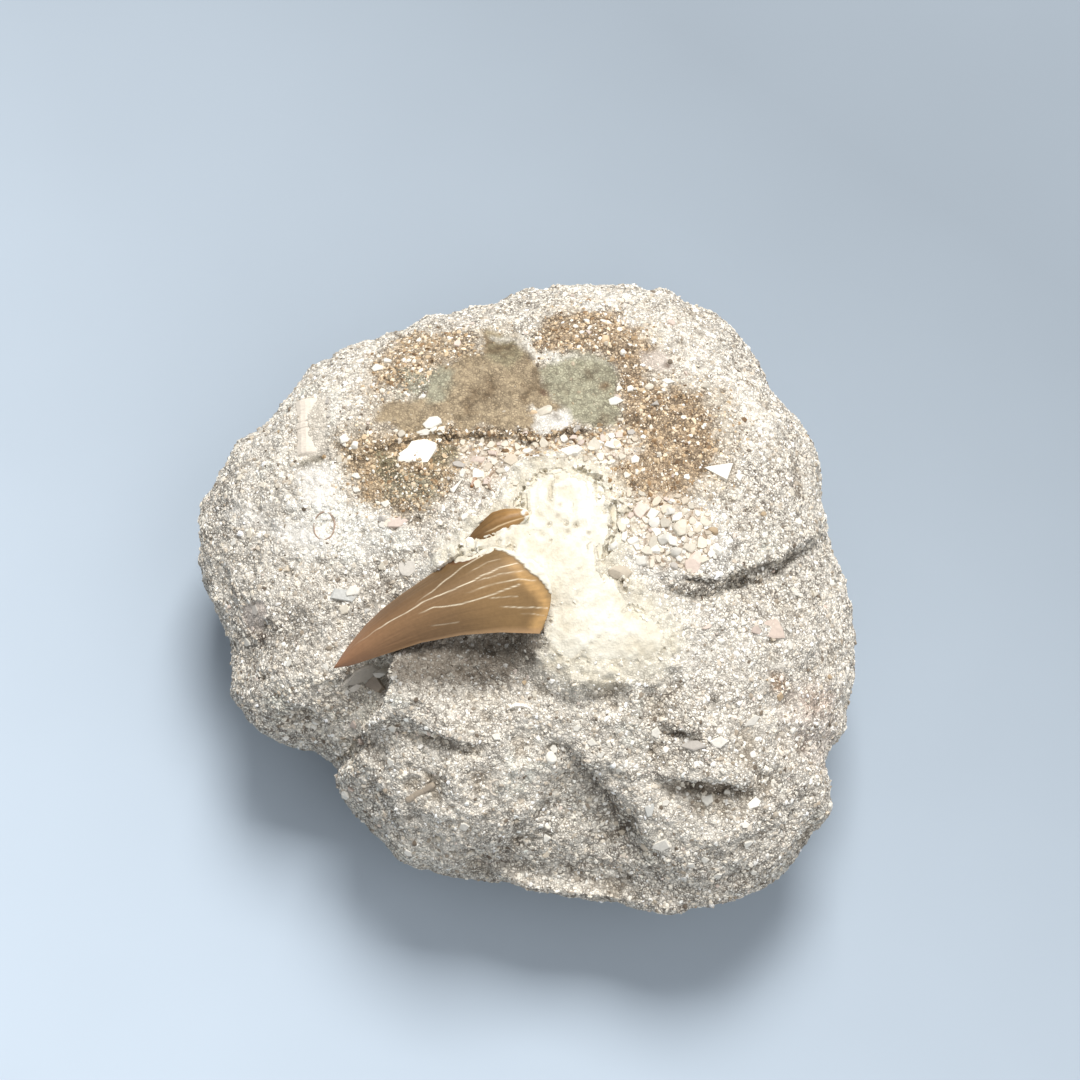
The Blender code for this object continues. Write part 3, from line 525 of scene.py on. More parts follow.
# ---------------------------------------------------------------- the tooth's markings
CROWN_RAMP = [  # share of the length from the tip, colour
    (0.00, (150, 110, 82)), (0.10, (146, 109, 80)), (0.35, (136, 104, 73)), (0.60, (133, 104, 71)),
    (0.80, (143, 113, 74)), (1.00, (160, 128, 84)),
]
CROWN_SHADE = 0.40  # painted shade: how much darker the enamel is made towards the upper edge, which faces the light
CROWN_CRACKS = [  # line, strength
    ([(-24.6, -13.4), (-20.0, -10.6), (-14.3, -7.6), (-11.4, -6.5), (-8.5, -5.4), (-3.5, -3.1),
      (-0.6, -2.3)], 1.0),
    ([(-15.4, -7.9), (-11.8, -5.1), (-8.6, -2.5), (-5.7, -0.7), (-4.6, 0.0)], 0.9),
    ([(-15.0, -9.1), (-12.5, -8.3), (-8.5, -7.9), (-3.8, -6.6), (-0.2, -5.4)], 1.0),
    ([(-8.5, -6.7), (-3.8, -5.2), (-0.6, -4.7), (2.0, -4.9)], 0.7),
    ([(-4.9, -7.2), (-0.6, -7.0)], 0.6), ([(-3.4, -8.3), (3.7, -8.5)], 0.8),
    ([(-13.2, -10.7), (-8.9, -10.2)], 0.4), ([(-8.0, -3.6), (-5.0, -1.9), (-3.0, -1.5)], 0.4),
    ([(-6.6, -4.9), (-3.4, -3.9), (0.2, -3.5)], 0.5), ([(-0.4, -9.3), (3.2, -9.5)], 0.4),
]
CRACK_COLOUR, CRACK_WIDTH = (250, 238, 212), 0.064
# The ragged line along which the root's chalk laps over the crown, from its upper edge downwards
CROWN_MARGIN = [
    (-9.8, 0.9), (-8.9, -0.1), (-7.7, -0.7), (-6.9, -0.7), (-5.8, 0.3), (-4.9, 0.5), (-3.6, 0.2),
    (-2.2, -0.5), (-0.9, -1.4), (0.4, -2.8), (0.9, -3.6), (2.1, -4.5), (3.4, -5.8), (4.3, -7.2),
    (4.6, -8.6), (4.4, -10.2), (3.2, -10.9), (2.7, -12.4),
]
CROWN_BANDS = [  # distance inside the margin, half width, colour, strength
    (2.6, 1.3, (98, 75, 47), 0.40), (1.1, 0.80, (214, 170, 110), 0.75), (0.1, 0.2, (136, 116, 86), 0.6),
]
CROWN_STAINS = [  # x, y, reach along x and y, colour
    (-9.4, -0.5, 1.4, 0.5, (84, 56, 40)), (-12.0, -1.7, 0.9, 0.45, (176, 124, 78)),
    (-8.9, -1.0, 2.4, 0.8, (106, 74, 50)),
]
CUSP_RAMP = [
    (0.0, (98, 72, 42)), (0.35, (110, 82, 46)), (0.70, (142, 106, 58)), (0.88, (164, 126, 76)),
    (1.0, (176, 144, 98)),
]
# Pale cutting edges; along the lower one it is partly a painted highlight
CROWN_EDGE_PALE_AND_HIGHLIGHT = (186, 150, 112)
ROOT_COLOURS = {"low": (196, 185, 161), "high": (240, 236, 222)}
ROOT_BELOW_CUSPS = 0.3

# ---------------------------------------------------------------- camera, light and floor
CAMERA = {"elevation": 75.0, "looks at": (2.6, 7.7, 20.0), "distance": 340.0, "lens": 73.67,
          "sensor": 36.0}
# Soft lights: direction as azimuth and elevation in degrees, distance and size in metres, watts
LIGHTS = [
    {"name": "key", "azimuth": 80.0, "elevation": 56.0, "distance": 0.9, "size": 0.36,
     "watts": 9.6, "colour": (1.0, 0.98, 0.955)},
    {"name": "fill", "azimuth": -35.0, "elevation": 50.0, "distance": 1.0, "size": 0.9,
     "watts": 3.1, "colour": (1.0, 0.98, 0.96)},
]
WORLD = {"colour": (0.95, 0.97, 1.0), "strength": 0.40}
FLOOR_COLOUR = (166, 178, 190)
FLOOR_PAINTED_LIGHT = (0.68, 1.38)  # painted light and shade: how much darker the floor is painted at the far right and lighter at the near left
FLOOR_SIDE = 2.4


def linear(colour):
    """An sRGB colour in bytes as linear red, green and blue."""
    c = np.asarray(colour, float) / 255.0
    return np.where(c <= 0.04045, c / 12.92, ((c + 0.055) / 1.055) ** 2.4)


def smoothstep(value, low, high):
    share = np.clip((value - low) / (high - low), 0.0, 1.0)
    return share * share * (3.0 - 2.0 * share)


def mix(first, second, share):
    return first + (second - first) * np.asarray(share)[..., None]


# ---------------------------------------------------------------- noise
def hashed(cell, seed):
    """A value from 0 to 1 that belongs to each whole-numbered cell."""
    x, y, z = (cell[..., i].astype(np.uint32) for i in range(3))
    h = x * np.uint32(374761393) + y * np.uint32(668265263) + z * np.uint32(2246822519)
    h = h + np.uint32(seed * 3266489917 % 2**32)
    h = (h ^ (h >> np.uint32(15))) * np.uint32(2246822519)
    h = (h ^ (h >> np.uint32(13))) * np.uint32(3266489917)
    h = h ^ (h >> np.uint32(16))
    return h.astype(float) / 2**32


def value_noise(points, size, seed):
    """Smooth noise from -1 to 1, with features of about the given size."""
    at = np.asarray(points, float) / size
    cell = np.floor(at)
    t = at - cell
    t = t * t * t * (t * (t * 6 - 15) + 10)
    cell = cell.astype(np.int64)
    total = np.zeros(len(at))
    for corner in itertools.product((0, 1), repeat=3):
        weight = np.prod(np.where(corner, t, 1 - t), axis=1)
        total += weight * hashed(cell + corner, seed)
    return total * 2 - 1


def cell_noise(points, size, seed):
    """Distance to the nearest and to the second nearest of points scattered about one to a cell
    of this size, as shares of it, and the nearest one's own value from 0 to 1."""
    at = np.asarray(points, float) / size
    cell = np.floor(at).astype(np.int64)
    first = np.full(len(at), 9.0)
    second = np.full(len(at), 9.0)
    own = np.zeros(len(at))
    for step in itertools.product((-1, 0, 1), repeat=3):
        near = cell + step
        spot = near + np.stack([hashed(near, seed + i) for i in range(3)], axis=1)
        away = np.linalg.norm(at - spot, axis=1)
        closer = away < first
        second = np.where(closer, first, np.minimum(second, away))
        own = np.where(closer, hashed(near, seed + 3), own)
        first = np.where(closer, away, first)
    return first, second, own


# ---------------------------------------------------------------- the rock's form
def closed_curve(turn, turns, values):
    """A smooth closed curve through the values at the given turns, read at each turn."""
    full = 2 * math.pi
    xs = np.concatenate([turns - full, turns, turns + full])
    ys = np.concatenate([values, values, values])
    slopes = np.gradient(ys, xs)
    i = np.searchsorted(xs, turn) - 1
    step = xs[i + 1] - xs[i]
    t = (turn - xs[i]) / step
    return (
        ys[i] * (1 + 2 * t) * (1 - t) ** 2
        + ys[i + 1] * t * t * (3 - 2 * t)
        + slopes[i] * step * t * (1 - t) ** 2
        + slopes[i + 1] * step * t * t * (t - 1)
    )


def rim_radius(turn):
    """Distance from the rock's middle to its rim, and the same with the small bends evened out."""
    rim = np.array(RIM)
    turns = np.unwrap(np.arctan2(rim[:, 1], rim[:, 0]))
    radii = np.hypot(rim[:, 0], rim[:, 1])
    turn = np.mod(turn - turns[0], 2 * math.pi) + turns[0]
    offsets = np.linspace(-SMOOTH_RIM_TURN, SMOOTH_RIM_TURN, 9)
    even = np.mean([closed_curve(turn + offset, turns, radii) for offset in offsets], axis=0)
    return closed_curve(turn, turns, radii), even


def rock_body(direction):
    """Carries points of the unit sphere onto the rock's general form."""
    turn = np.arctan2(direction[:, 1], direction[:, 0])
    level = direction[:, 2]
    across = np.sqrt(np.clip(1 - level**2, 0, 1))
    radius, even_radius = rim_radius(turn)
    fullness = np.where(level > 0, UPPER_FULLNESS, UNDER_FULLNESS)
    height = np.where(level > 0, DOME, KEEL) * np.abs(level) ** (2 / fullness)
    flutes = np.exp(-((level / FLUTE_REACH) ** 2))
    reach = (even_radius + (radius - even_radius) * flutes) * across ** (2 / fullness)
    return np.stack(
        [reach * np.cos(turn), reach * np.sin(turn), RIM_LEVEL + np.sign(level) * height], axis=1
    )


def to_line(plan, line):
    """Signed distance of each x, y to the line, positive on its left, and the share of the line
    passed at the nearest point."""
    corners = np.array(line, float)
    distance = np.full(len(plan), np.inf)
    passed = np.zeros(len(plan))
    count = len(corners) - 1
    for i in range(count):
        run = corners[i + 1] - corners[i]
        start = plan - corners[i]
        t = np.clip(start @ run / (run @ run), 0, 1)
        off = start - t[:, None] * run
        away = np.hypot(off[:, 0], off[:, 1])
        side = np.sign(run[0] * start[:, 1] - run[1] * start[:, 0])
        nearer = away < np.abs(distance)
        distance = np.where(nearer, away * side, distance)
        passed = np.where(nearer, (i + t) / count, passed)
    return distance, passed


def swells(plan):
    """Height that the front slope and the broad swells add to the upper side at each x, y."""
    rise = FRONT_SLOPE * np.minimum(0.0, plan[:, 1] - FRONT_SLOPE_FROM)
    for x, y, radius, height in SWELLS:
        away = np.hypot(plan[:, 0] - x, plan[:, 1] - y)
        rise += height * np.exp(-((away / radius) ** 2))
    return rise


def breaks_in_top(plan):
    """Height that the ledges and grooves add to the upper side at each x, y."""
    rise = np.zeros(len(plan))
    for ledge in LEDGES:
        distance, passed = to_line(plan, ledge["line"])
        first, last = ledge["ends"]
        strength = np.interp(passed, LEDGE_FADE, [first, 1.0, 1.0, last])
        near = np.exp(-((distance / ledge["reach"]) ** 2))
        edge = ledge["edge"] * EDGE_SHARPNESS
        rise += 0.5 * ledge["height"] * np.tanh(distance / edge) * near * strength
    for groove in GROOVES:
        distance, passed = to_line(plan, groove["line"])
        strength = np.interp(passed, LEDGE_FADE, [GROOVE_ENDS, 1.0, 1.0, GROOVE_ENDS])
        rise -= groove["depth"] * np.exp(-((distance / groove["width"]) ** 2)) * strength
    return rise


def wandering(points):
    """Each point's x, y moved a little, so that what is drawn on them comes out uneven."""
    noise.seed_set(NOISE_SEED)
    return np.array([p[:2] + WANDER * np.array(noise.noise_vector(Vector(p / WANDER_SIZE)))[:2]
                     for p in points])


def lumps(points):
    """Natural unevenness at each point, as a height along the surface's normal."""
    rise = np.zeros(len(points))
    for size, height in LUMPS:
        rise += height * np.array([noise.noise(Vector(p / size)) for p in points])
    return rise


def flatten(points, azimuth, elevation, distance):
    """Brings every point that lies beyond a plane back onto it."""
    azimuth, elevation = math.radians(azimuth), math.radians(elevation)
    facing = np.array([math.cos(azimuth) * math.cos(elevation),
                       math.sin(azimuth) * math.cos(elevation), math.sin(elevation)])
    beyond = (points - [0, 0, RIM_LEVEL]) @ facing - distance
    return points - np.outer(np.maximum(beyond, 0.0), facing)


def ball_grid(side):
    """Points of a unit sphere laid out as a cube's grid, closer together at the top, and quads."""
    index, corners = {}, []
    faces = []
    for axis, end in itertools.product(range(3), (0, side)):
        i, j = np.meshgrid(np.arange(side + 1), np.arange(side + 1), indexing="ij")
        whole = np.empty((side + 1, side + 1, 3), int)
        whole[..., axis] = end
        whole[..., (axis + 1) % 3] = i
        whole[..., (axis + 2) % 3] = j
        keys = (whole[..., 0] * (side + 1) + whole[..., 1]) * (side + 1) + whole[..., 2]
        quads = np.stack([keys[:-1, :-1], keys[1:, :-1], keys[1:, 1:], keys[:-1, 1:]], axis=-1)
        faces.append((quads if end else quads[..., ::-1]).reshape(-1, 4))
    faces = np.concatenate(faces)
    keys, index = np.unique(faces, return_inverse=True)
    corners = np.stack([keys // (side + 1) ** 2, keys // (side + 1) % (side + 1),
                        keys % (side + 1)], axis=1)
    direction = np.tan((corners * 2 / side - 1) * math.pi / 4)
    direction /= np.linalg.norm(direction, axis=1)[:, None]
    fall = (np.arccos(np.clip(direction[:, 2], -1, 1)) / math.pi) ** UPPER_SHARE * math.pi
    flat = direction[:, :2] / np.maximum(np.linalg.norm(direction[:, :2], axis=1), 1e-12)[:, None]
    return np.column_stack([flat * np.sin(fall)[:, None], np.cos(fall)]), index.reshape(-1, 4)


# ---------------------------------------------------------------- meshes
def make_mesh(name, points, faces, colour=None, values=None, smooth=False):
    """A mesh object from points in mm and rows of corner numbers, with a colour and other values
    for each point."""
    mesh = bpy.data.meshes.new(name)
    faces = np.asarray(faces)
    mesh.vertices.add(len(points))
    mesh.vertices.foreach_set("co", (np.asarray(points) * MM).astype(np.float32).ravel())
    mesh.loops.add(faces.size)
    mesh.loops.foreach_set("vertex_index", faces.ravel().astype(np.int32))
    mesh.polygons.add(len(faces))
    mesh.polygons.foreach_set("loop_start", np.arange(0, faces.size, faces.shape[1], dtype=np.int32))
    mesh.polygons.foreach_set("use_smooth", np.full(len(faces), smooth))
    mesh.update(calc_edges=True)
    if colour is not None:
        layer = mesh.attributes.new("tint", "FLOAT_COLOR", "POINT")
        layer.data.foreach_set("color", np.column_stack(
            [colour, np.ones(len(points))]).astype(np.float32).ravel())
    for key, value in (values or {}).items():
        layer = mesh.attributes.new(key, "FLOAT", "POINT")
        layer.data.foreach_set("value", np.asarray(value, np.float32))
    item = bpy.data.objects.new(name, mesh)
    bpy.context.scene.collection.objects.link(item)
    return item


def points_of(mesh):
    points = np.empty(len(mesh.vertices) * 3, np.float32)
    mesh.vertices.foreach_get("co", points)
    return points.reshape(-1, 3).astype(float) / MM


def normals_of(mesh):
    normals = np.empty(len(mesh.vertices) * 3, np.float32)
    mesh.vertex_normals.foreach_get("vector", normals)
    return normals.reshape(-1, 3).astype(float)


def set_points(mesh, points):
    mesh.vertices.foreach_set("co", (points * MM).astype(np.float32).ravel())
    mesh.update()


def apply_modifiers(item):
    """Puts what the object's modifiers make in place of its mesh."""
    graph = bpy.context.evaluated_depsgraph_get()
    made = bpy.data.meshes.new_from_object(item.evaluated_get(graph), depsgraph=graph)
    item.modifiers.clear()
    item.data = made
    return made


def tree_of(*items):
    """A tree for casting rays, in mm, over the given objects."""
    points, faces, start = [], [], 0
    for item in items:
        mesh = item.data
        mesh.calc_loop_triangles()
        corners = np.empty(len(mesh.loop_triangles) * 3, np.int32)
        mesh.loop_triangles.foreach_get("vertices", corners)
        faces.append(corners.reshape(-1, 3) + start)
        points.append(points_of(mesh))
        start += len(mesh.vertices)
    return BVHTree.FromPolygons(np.concatenate(points).tolist(), np.concatenate(faces).tolist())


# ---------------------------------------------------------------- regions
def inside(plan, outline):
    """Signed distance of each x, y to a closed outline, positive inside it."""
    corners = np.array(outline, float)
    distance = np.full(len(plan), np.inf)
    within = np.zeros(len(plan), bool)
    for a, b in zip(corners, np.roll(corners, -1, axis=0)):
        run = b - a
        start = plan - a
        t = np.clip(start @ run / (run @ run), 0, 1)
        distance = np.minimum(distance, np.linalg.norm(start - t[:, None] * run, axis=1))
        crosses = (a[1] > plan[:, 1]) != (b[1] > plan[:, 1])
        at = a[0] + (plan[:, 1] - a[1]) * run[0] / (run[1] if run[1] else 1e-9)
        within ^= crosses & (plan[:, 0] < at)
    return np.where(within, distance, -distance)


def regions_at(points):
    """How far each point belongs to each region, from 0 to 1."""
    above = smoothstep(points[:, 2], 20.0, 25.0)
    found = {}
    for number, (name, (outline, soft, stray, size)) in enumerate(REGIONS.items()):
        corners = np.array(outline)
        reach = soft + stray
        near = np.all((points[:, :2] > corners.min(axis=0) - reach)
                      & (points[:, :2] < corners.max(axis=0) + reach), axis=1) & (above > 0)
        share = np.zeros(len(points))
        if near.any():
            some = points[near]
            edge = inside(some[:, :2], outline)
            edge += stray * 0.6 * value_noise(some, size, 500 + number)
            edge += stray * 0.5 * value_noise(some, size / 3, 600 + number)
            edge += stray * 0.35 * value_noise(some, size / 7, 700 + number)
            share[near] = smoothstep(edge, -soft, soft) * above[near]
        found[name] = share
    return found


def most(found, names):
    return np.max([found[name] for name in names], axis=0)


# ---------------------------------------------------------------- the rock's skin
def fine_relief(points, found, side):
    """Height of the skin's fine unevenness at each point, and how deep it lies, from 0 to 1."""
    smooth = most(found, FLAT_REGIONS)
    chalky = np.maximum(found["cream"], 0.55 * found["chalk right"])
    keep = 1 - (1 - SMOOTH_RELIEF) * smooth
    keep *= 1 - 0.6 * chalky
    rise = np.zeros(len(points))
    for size, height, seed in FINE_RELIEF:
        rise += height * value_noise(points, size, seed)
    for size, height, seed in GRAIN_RELIEF:
        first, _, own = cell_noise(points, size, seed)
        rise += height * (0.45 - first) * (0.6 + 0.8 * own)
    size, depth, seed = PIT_RELIEF
    first, _, own = cell_noise(points, size, seed)
    rise -= depth * smoothstep(0.25 - first, 0.0, 0.15) * (own > 0.78)
    rough = np.zeros(len(points))
    for size, height, seed in SIDE_RELIEF:
        rough += height * (0.5 - np.abs(value_noise(points, size, seed)))
    rise = rise * keep + rough * side * (1 - smooth)
    low = smoothstep(-rise, -0.05, 0.55)
    return rise, low


def make_skin(tooth_pieces):
    direction, quads = ball_grid(SKIN_SIDE)
    level = direction[:, 2]
    points = rock_body(direction)
    points[:, 2] += swells(points[:, :2]) * smoothstep(level, -0.05, 0.45)
    points[:, 2] += breaks_in_top(wandering(points)) * smoothstep(level, -0.2, 0.2)
    for azimuth, elevation, distance in BREAKS:
        points = flatten(points, azimuth, elevation, distance)
    skin = make_mesh("limestone", points, quads)
    normals = normals_of(skin.data)
    keep = 1 - (1 - TOP_LUMPS) * smoothstep(level, 0.0, 0.3)
    points += normals * (lumps(points) * keep)[:, None]
    set_points(skin.data, points)
    normals = normals_of(skin.data)
    steep = 1 - smoothstep(normals[:, 2], 0.35, 0.9)
    found = regions_at(points)
    front = smoothstep(-points[:, 1], 13.0, 24.0) + smoothstep(-points[:, 0], 26.0, 40.0) * 0.5
    rise, low = fine_relief(points, found, 0.15 + 0.85 * np.maximum(steep, FRONT_RELIEF * front))
    above = smoothstep(points[:, 2], 18.0, 24.0)
    strayed = points[:, :2] + np.stack([value_noise(points, 1.6, 41), value_noise(points, 1.6, 42)],
                                       axis=1) * 0.45
    # dark: painted shade in the cracks, pits and grooves
    dark = np.zeros(len(points))
    for crack in CRACKS:
        distance, passed = to_line(strayed, crack["line"])
        ends = smoothstep(np.minimum(passed, 1 - passed), -0.001, 0.12)
        broken = 0.6 + 0.6 * value_noise(points, 2.2, 43)
        line = np.exp(-((distance / crack["width"]) ** 2)) * (0.35 + 0.65 * ends) * above * broken
        rise -= crack["depth"] * line
        dark = np.maximum(dark, line * 0.9)
    for x, y, radius, depth in PITS:
        away = np.hypot(strayed[:, 0] - x, strayed[:, 1] - y)
        pit = np.exp(-((away / radius) ** 2)) * above
        rise -= depth * pit
        dark = np.maximum(dark, pit * PIT_SHADE)
    for groove in GROOVES:
        distance, passed = to_line(strayed, groove["line"])
        line = np.exp(-((distance / (0.6 * groove["width"])) ** 2)) * above
        dark = np.maximum(dark, 0.35 * line)
    points = points + normals * rise[:, None]
    points = flatten(points, 0, -90, RIM_LEVEL)
    points, chalk = rise_to_root(points, tooth_pieces[-1])
    chalk *= 1 - found["shade"]
    points = keep_under(points, tooth_pieces[:2])
    points = keep_under(points, tooth_pieces[2:], ROOT_SHOWS)
    set_points(skin.data, points)
    colour = skin_colour(points, found, low, dark)
    pale = np.clip(0.55 + 0.35 * value_noise(points, 0.8, 93) - 0.5 * low, 0, 1)
    pale = mix(linear(ROOT_COLOURS["low"]), linear(ROOT_COLOURS["high"]), pale)
    colour = mix(colour, pale, 0.9 * chalk)
    layer = skin.data.attributes.new("tint", "FLOAT_COLOR", "POINT")
    layer.data.foreach_set("color", np.column_stack(
        [colour, np.ones(len(points))]).astype(np.float32).ravel())
    even = np.maximum(0.45 * most(found, FLAT_REGIONS), 0.80 * found["cream"])
    even = np.maximum(even, 0.4 * most(found, ("bone patch", "chalk band")))
    even = np.maximum(even, 0.7 * most(found, ("splash", "skin rim", "rubble", "cluster")))
    even = np.maximum(even, 0.75 * chalk)
    coarse = 0.55 + 0.45 * value_noise(points, 12.0, 75) + 0.25 * value_noise(points, 4.0, 76)
    coarse += 0.5 * most(found, BROWN_REGIONS) + 0.5 * steep - 0.5 * found["chalk left"]
    coarse -= 0.25 * smoothstep(points[:, 1], 10.0, 30.0) * smoothstep(-points[:, 0], 10.0, 30.0)
    broken = most(found, ("rubble", "cluster"))
    for key, value in (("even", even), ("coarse", np.clip(coarse, 0, 1)), ("broken", broken)):
        layer = skin.data.attributes.new(key, "FLOAT", "POINT")
        layer.data.foreach_set("value", value.astype(np.float32))
    thin = skin.modifiers.new("fewer faces", "DECIMATE")
    thin.ratio = SKIN_TRIANGLES / (2 * len(quads))
    apply_modifiers(skin)
    return skin


def rise_to_root(points, root):
    """Lifts the skin beside the root, so that the rock runs up to it without a crease, and says
    how much of the root's chalk lies over each point."""
    tops = points_of(root.data)[normals_of(root.data)[:, 2] > 0.55][::ROOT_TOPS_STEP]
    low, high = tops.min(axis=0) - FILLET_REACH, tops.max(axis=0) + FILLET_REACH
    near = np.flatnonzero(np.all((points[:, :2] > low[:2]) & (points[:, :2] < high[:2]), axis=1)
                          & (points[:, 2] > low[2] - 2 * FILLET_REACH))
    uneven = 1 + 0.6 * value_noise(points[near], 2.4, 91) + 0.3 * value_noise(points[near], 0.9, 92)
    chalk = np.zeros(len(points))
    for some, share in zip(np.array_split(near, 40), np.array_split(uneven, 40)):
        gaps = np.hypot(points[some, None, 0] - tops[:, 0], points[some, None, 1] - tops[:, 1])
        away = gaps.min(axis=1)
        level = (tops[:, 2] - FILLET_SLOPE * gaps * share[:, None]).max(axis=1) - ROOT_SHOWS
        fade = 1 - smoothstep(away, 0.3 * FILLET_REACH, FILLET_REACH)
        points[some, 2] += np.maximum(level - points[some, 2], 0) * fade
        chalk[some] = np.exp(-((np.maximum(away - 0.3, 0) * share / CHALK_REACH) ** 2)) * fade
    return points, chalk


def keep_under(points, items, depth=None):
    """Lowers the points that would stand in a piece to the middle of its thickness, or to a depth
    under its top, where that isn't steep."""
    tree = tree_of(*items)
    boxes = [points_of(item.data) for item in items]
    low = np.min([b.min(axis=0) for b in boxes], axis=0)
    high = np.max([b.max(axis=0) for b in boxes], axis=0)
    near = np.flatnonzero(np.all((points[:, :2] > low[:2]) & (points[:, :2] < high[:2]), axis=1)
                          & (points[:, 2] > low[2] - 2))
    for i in near:
        x, y, z = points[i]
        top, normal, _, _ = tree.ray_cast(Vector((x, y, 90.0)), Vector((0, 0, -1)))
        if top is None or (depth is not None and abs(normal.z) < FLANK):
            continue
        if depth is None:
            bottom = tree.ray_cast(Vector((x, y, 0.0)), Vector((0, 0, 1)))[0]
            limit = (top.z + bottom.z) / 2
        else:
            limit = top.z - depth + SHOULDER * smoothstep(1 - abs(normal.z), 0.04, 1 - FLANK)
        points[i, 2] = min(z, limit)
    return points


def skin_colour(points, found, low, dark):
    above = smoothstep(points[:, 2], 6.0, 22.0)
    speck = value_noise(points, 0.8, 71) * 0.5 + value_noise(points, 0.45, 72) * 0.5
    broad = value_noise(points, 9.0, 73) * 0.6 + value_noise(points, 3.6, 74) * 0.4
    # Darker in the low places of the fine relief: partly the stone's own colour, partly painted shade in the
    # hollows
    high = np.clip(1 - low + 0.35 * speck, 0, 1)
    colour = mix(
        mix(linear(SKIN_COLOURS["under gap"]), linear(SKIN_COLOURS["under pale"]), high),
        mix(linear(SKIN_COLOURS["gap"]), linear(SKIN_COLOURS["pale"]), high),
        above,
    )
    for name, deep, top, strength in PAINT:
        share = found[name] * strength
        if share.any():
            colour = mix(colour, mix(linear(deep), linear(top), high), share)
    painted = np.maximum(found["tan skin"], 0.8 * found["green"])
    cloud = 0.6 * value_noise(points, 2.6, 81) + 0.5 * value_noise(points, 0.9, 82) + 0.5 * speck
    colour = mix(colour, linear(MOTTLE_COLOUR), MOTTLE * painted * smoothstep(cloud, 0.05, 0.75))
    strayed = points[:, :2] + 0.3 * np.stack([value_noise(points, 1.2, 83),
                                              value_noise(points, 1.2, 84)], axis=1)
    for line, width, tone, strength in PAINTED_LINES:
        distance = to_line(strayed, line)[0]
        share = np.exp(-((distance / width) ** 2)) * strength * smoothstep(points[:, 2], 22.0, 26.0)
        colour = mix(colour, linear(tone), share * (0.75 + 0.25 * speck))
    for x, y, radius, tone in STAINS:
        away = np.hypot(strayed[:, 0] - x, strayed[:, 1] - y)
        colour = mix(colour, linear(tone), 0.8 * smoothstep(-away, -1.3 * radius, -0.6 * radius))
    # Painted shade in the cracks, pits and grooves
    colour = mix(colour, linear(CREVICE_SHADE_COLOUR), np.clip(dark, 0, 1) * 0.85)
    return np.clip(colour * (1 + 0.10 * broad)[:, None], 0.0, 0.97)


# ---------------------------------------------------------------- loose grains
def solid_shape(kind):
    bm = bmesh.new()
    if kind == "octahedron":
        corners = [bm.verts.new(v) for v in
                   ((1, 0, 0), (-1, 0, 0), (0, 1, 0), (0, -1, 0), (0, 0, 1), (0, 0, -1))]
        for x, y, z in itertools.product((0, 1), (2, 3), (4, 5)):
            ring = (corners[x], corners[y], corners[z])
            odd = (x % 2 + y % 2 + z % 2) % 2
            bm.faces.new(ring[::-1] if odd else ring)
    else:
        bmesh.ops.create_icosphere(bm, subdivisions=1, radius=1.0)
    bm.verts.index_update()
    points = np.array([v.co for v in bm.verts])
    faces = np.array([[v.index for v in f.verts] for f in bm.faces])
    bm.free()
    return points, faces


def lying_frames(rng, normals, tilt):
    """Frames whose third axis is the normal tilted a little, and whose first two are turned at
    random about it."""
    up = normals + tilt * rng.normal(size=normals.shape)
    up /= np.linalg.norm(up, axis=1)[:, None]
    side = np.cross(up, rng.normal(size=normals.shape))
    side /= np.linalg.norm(side, axis=1)[:, None]
    return np.stack([side, np.cross(up, side), up], axis=2)


def triangles_of(item):
    mesh = item.data
    mesh.calc_loop_triangles()
    corners = np.empty(len(mesh.loop_triangles) * 3, np.int32)
    mesh.loop_triangles.foreach_get("vertices", corners)
    return points_of(mesh)[corners.reshape(-1, 3)]


def sprinkle(rng, triangles, weight, count):
    """Random places on the triangles, and the normal there."""
    edges = np.cross(triangles[:, 1] - triangles[:, 0], triangles[:, 2] - triangles[:, 0])
    area = np.linalg.norm(edges, axis=1)
    chance = area * weight
    chosen = rng.choice(len(triangles), size=count, p=chance / chance.sum())
    a, b = rng.random((2, count))
    over = a + b > 1
    a, b = np.where(over, 1 - a, a), np.where(over, 1 - b, b)
    t = triangles[chosen]
    places = t[:, 0] + a[:, None] * (t[:, 1] - t[:, 0]) + b[:, None] * (t[:, 2] - t[:, 0])
    return places, edges[chosen] / area[chosen][:, None]


def pick(rng, palette, count):
    shares = np.array([share for share, _ in palette])
    colours = np.array([linear(colour) for _, colour in palette])
    return colours[rng.choice(len(palette), size=count, p=shares / shares.sum())]


def grain_weight(points):
    """How thickly the grains lie at each point."""
    found = regions_at(points)
    weight = UNDER_DENSITY + (1 - UNDER_DENSITY) * smoothstep(points[:, 2], 14.0, 24.0)
    weight *= 1 - (1 - SMOOTH_DENSITY) * most(found, FLAT_REGIONS)
    weight *= 1 - 0.7 * most(found, ("bone patch", "chalk band"))
    weight *= 1 - (1 - CREAM_DENSITY) * found["cream"]
    weight *= 1 + 0.5 * most(found, BROWN_REGIONS)
    return weight * (points[:, 2] > 0.8)


def grain_colours(rng, places):
    found = regions_at(places)
    count = len(places)
    colour = pick(rng, GRAIN_PALETTES["rock"], count)
    chance = rng.random((4, count))
    under = chance[0] > smoothstep(places[:, 2], 8.0, 24.0)
    colour[under] = pick(rng, GRAIN_PALETTES["under"], count)[under]
    chalky = np.max([found["cream"], 0.7 * found["chalk left"], 0.85 * found["chalk right"],
                     0.55 * found["chalk low"], found["chalk streak"]], axis=0)
    colour = np.where((chance[1] < chalky)[:, None], pick(rng, GRAIN_PALETTES["chalk"], count), colour)
    brown = np.maximum(most(found, BROWN_REGIONS), 0.4 * found["halo"])
    colour = np.where((chance[2] < 0.92 * brown)[:, None],
                      pick(rng, GRAIN_PALETTES["brown"], count), colour)
    skin = np.maximum(found["tan skin"], found["green"])
    colour = mix(colour, linear((156, 138, 108)), 0.75 * skin)
    shade = 1 - 0.66 * found["shade"]
    tone = 1 + rng.normal(0, GRAIN_TONE_SPREAD, count)
    return np.clip(colour * (tone * shade)[:, None], 0.01, 0.97)


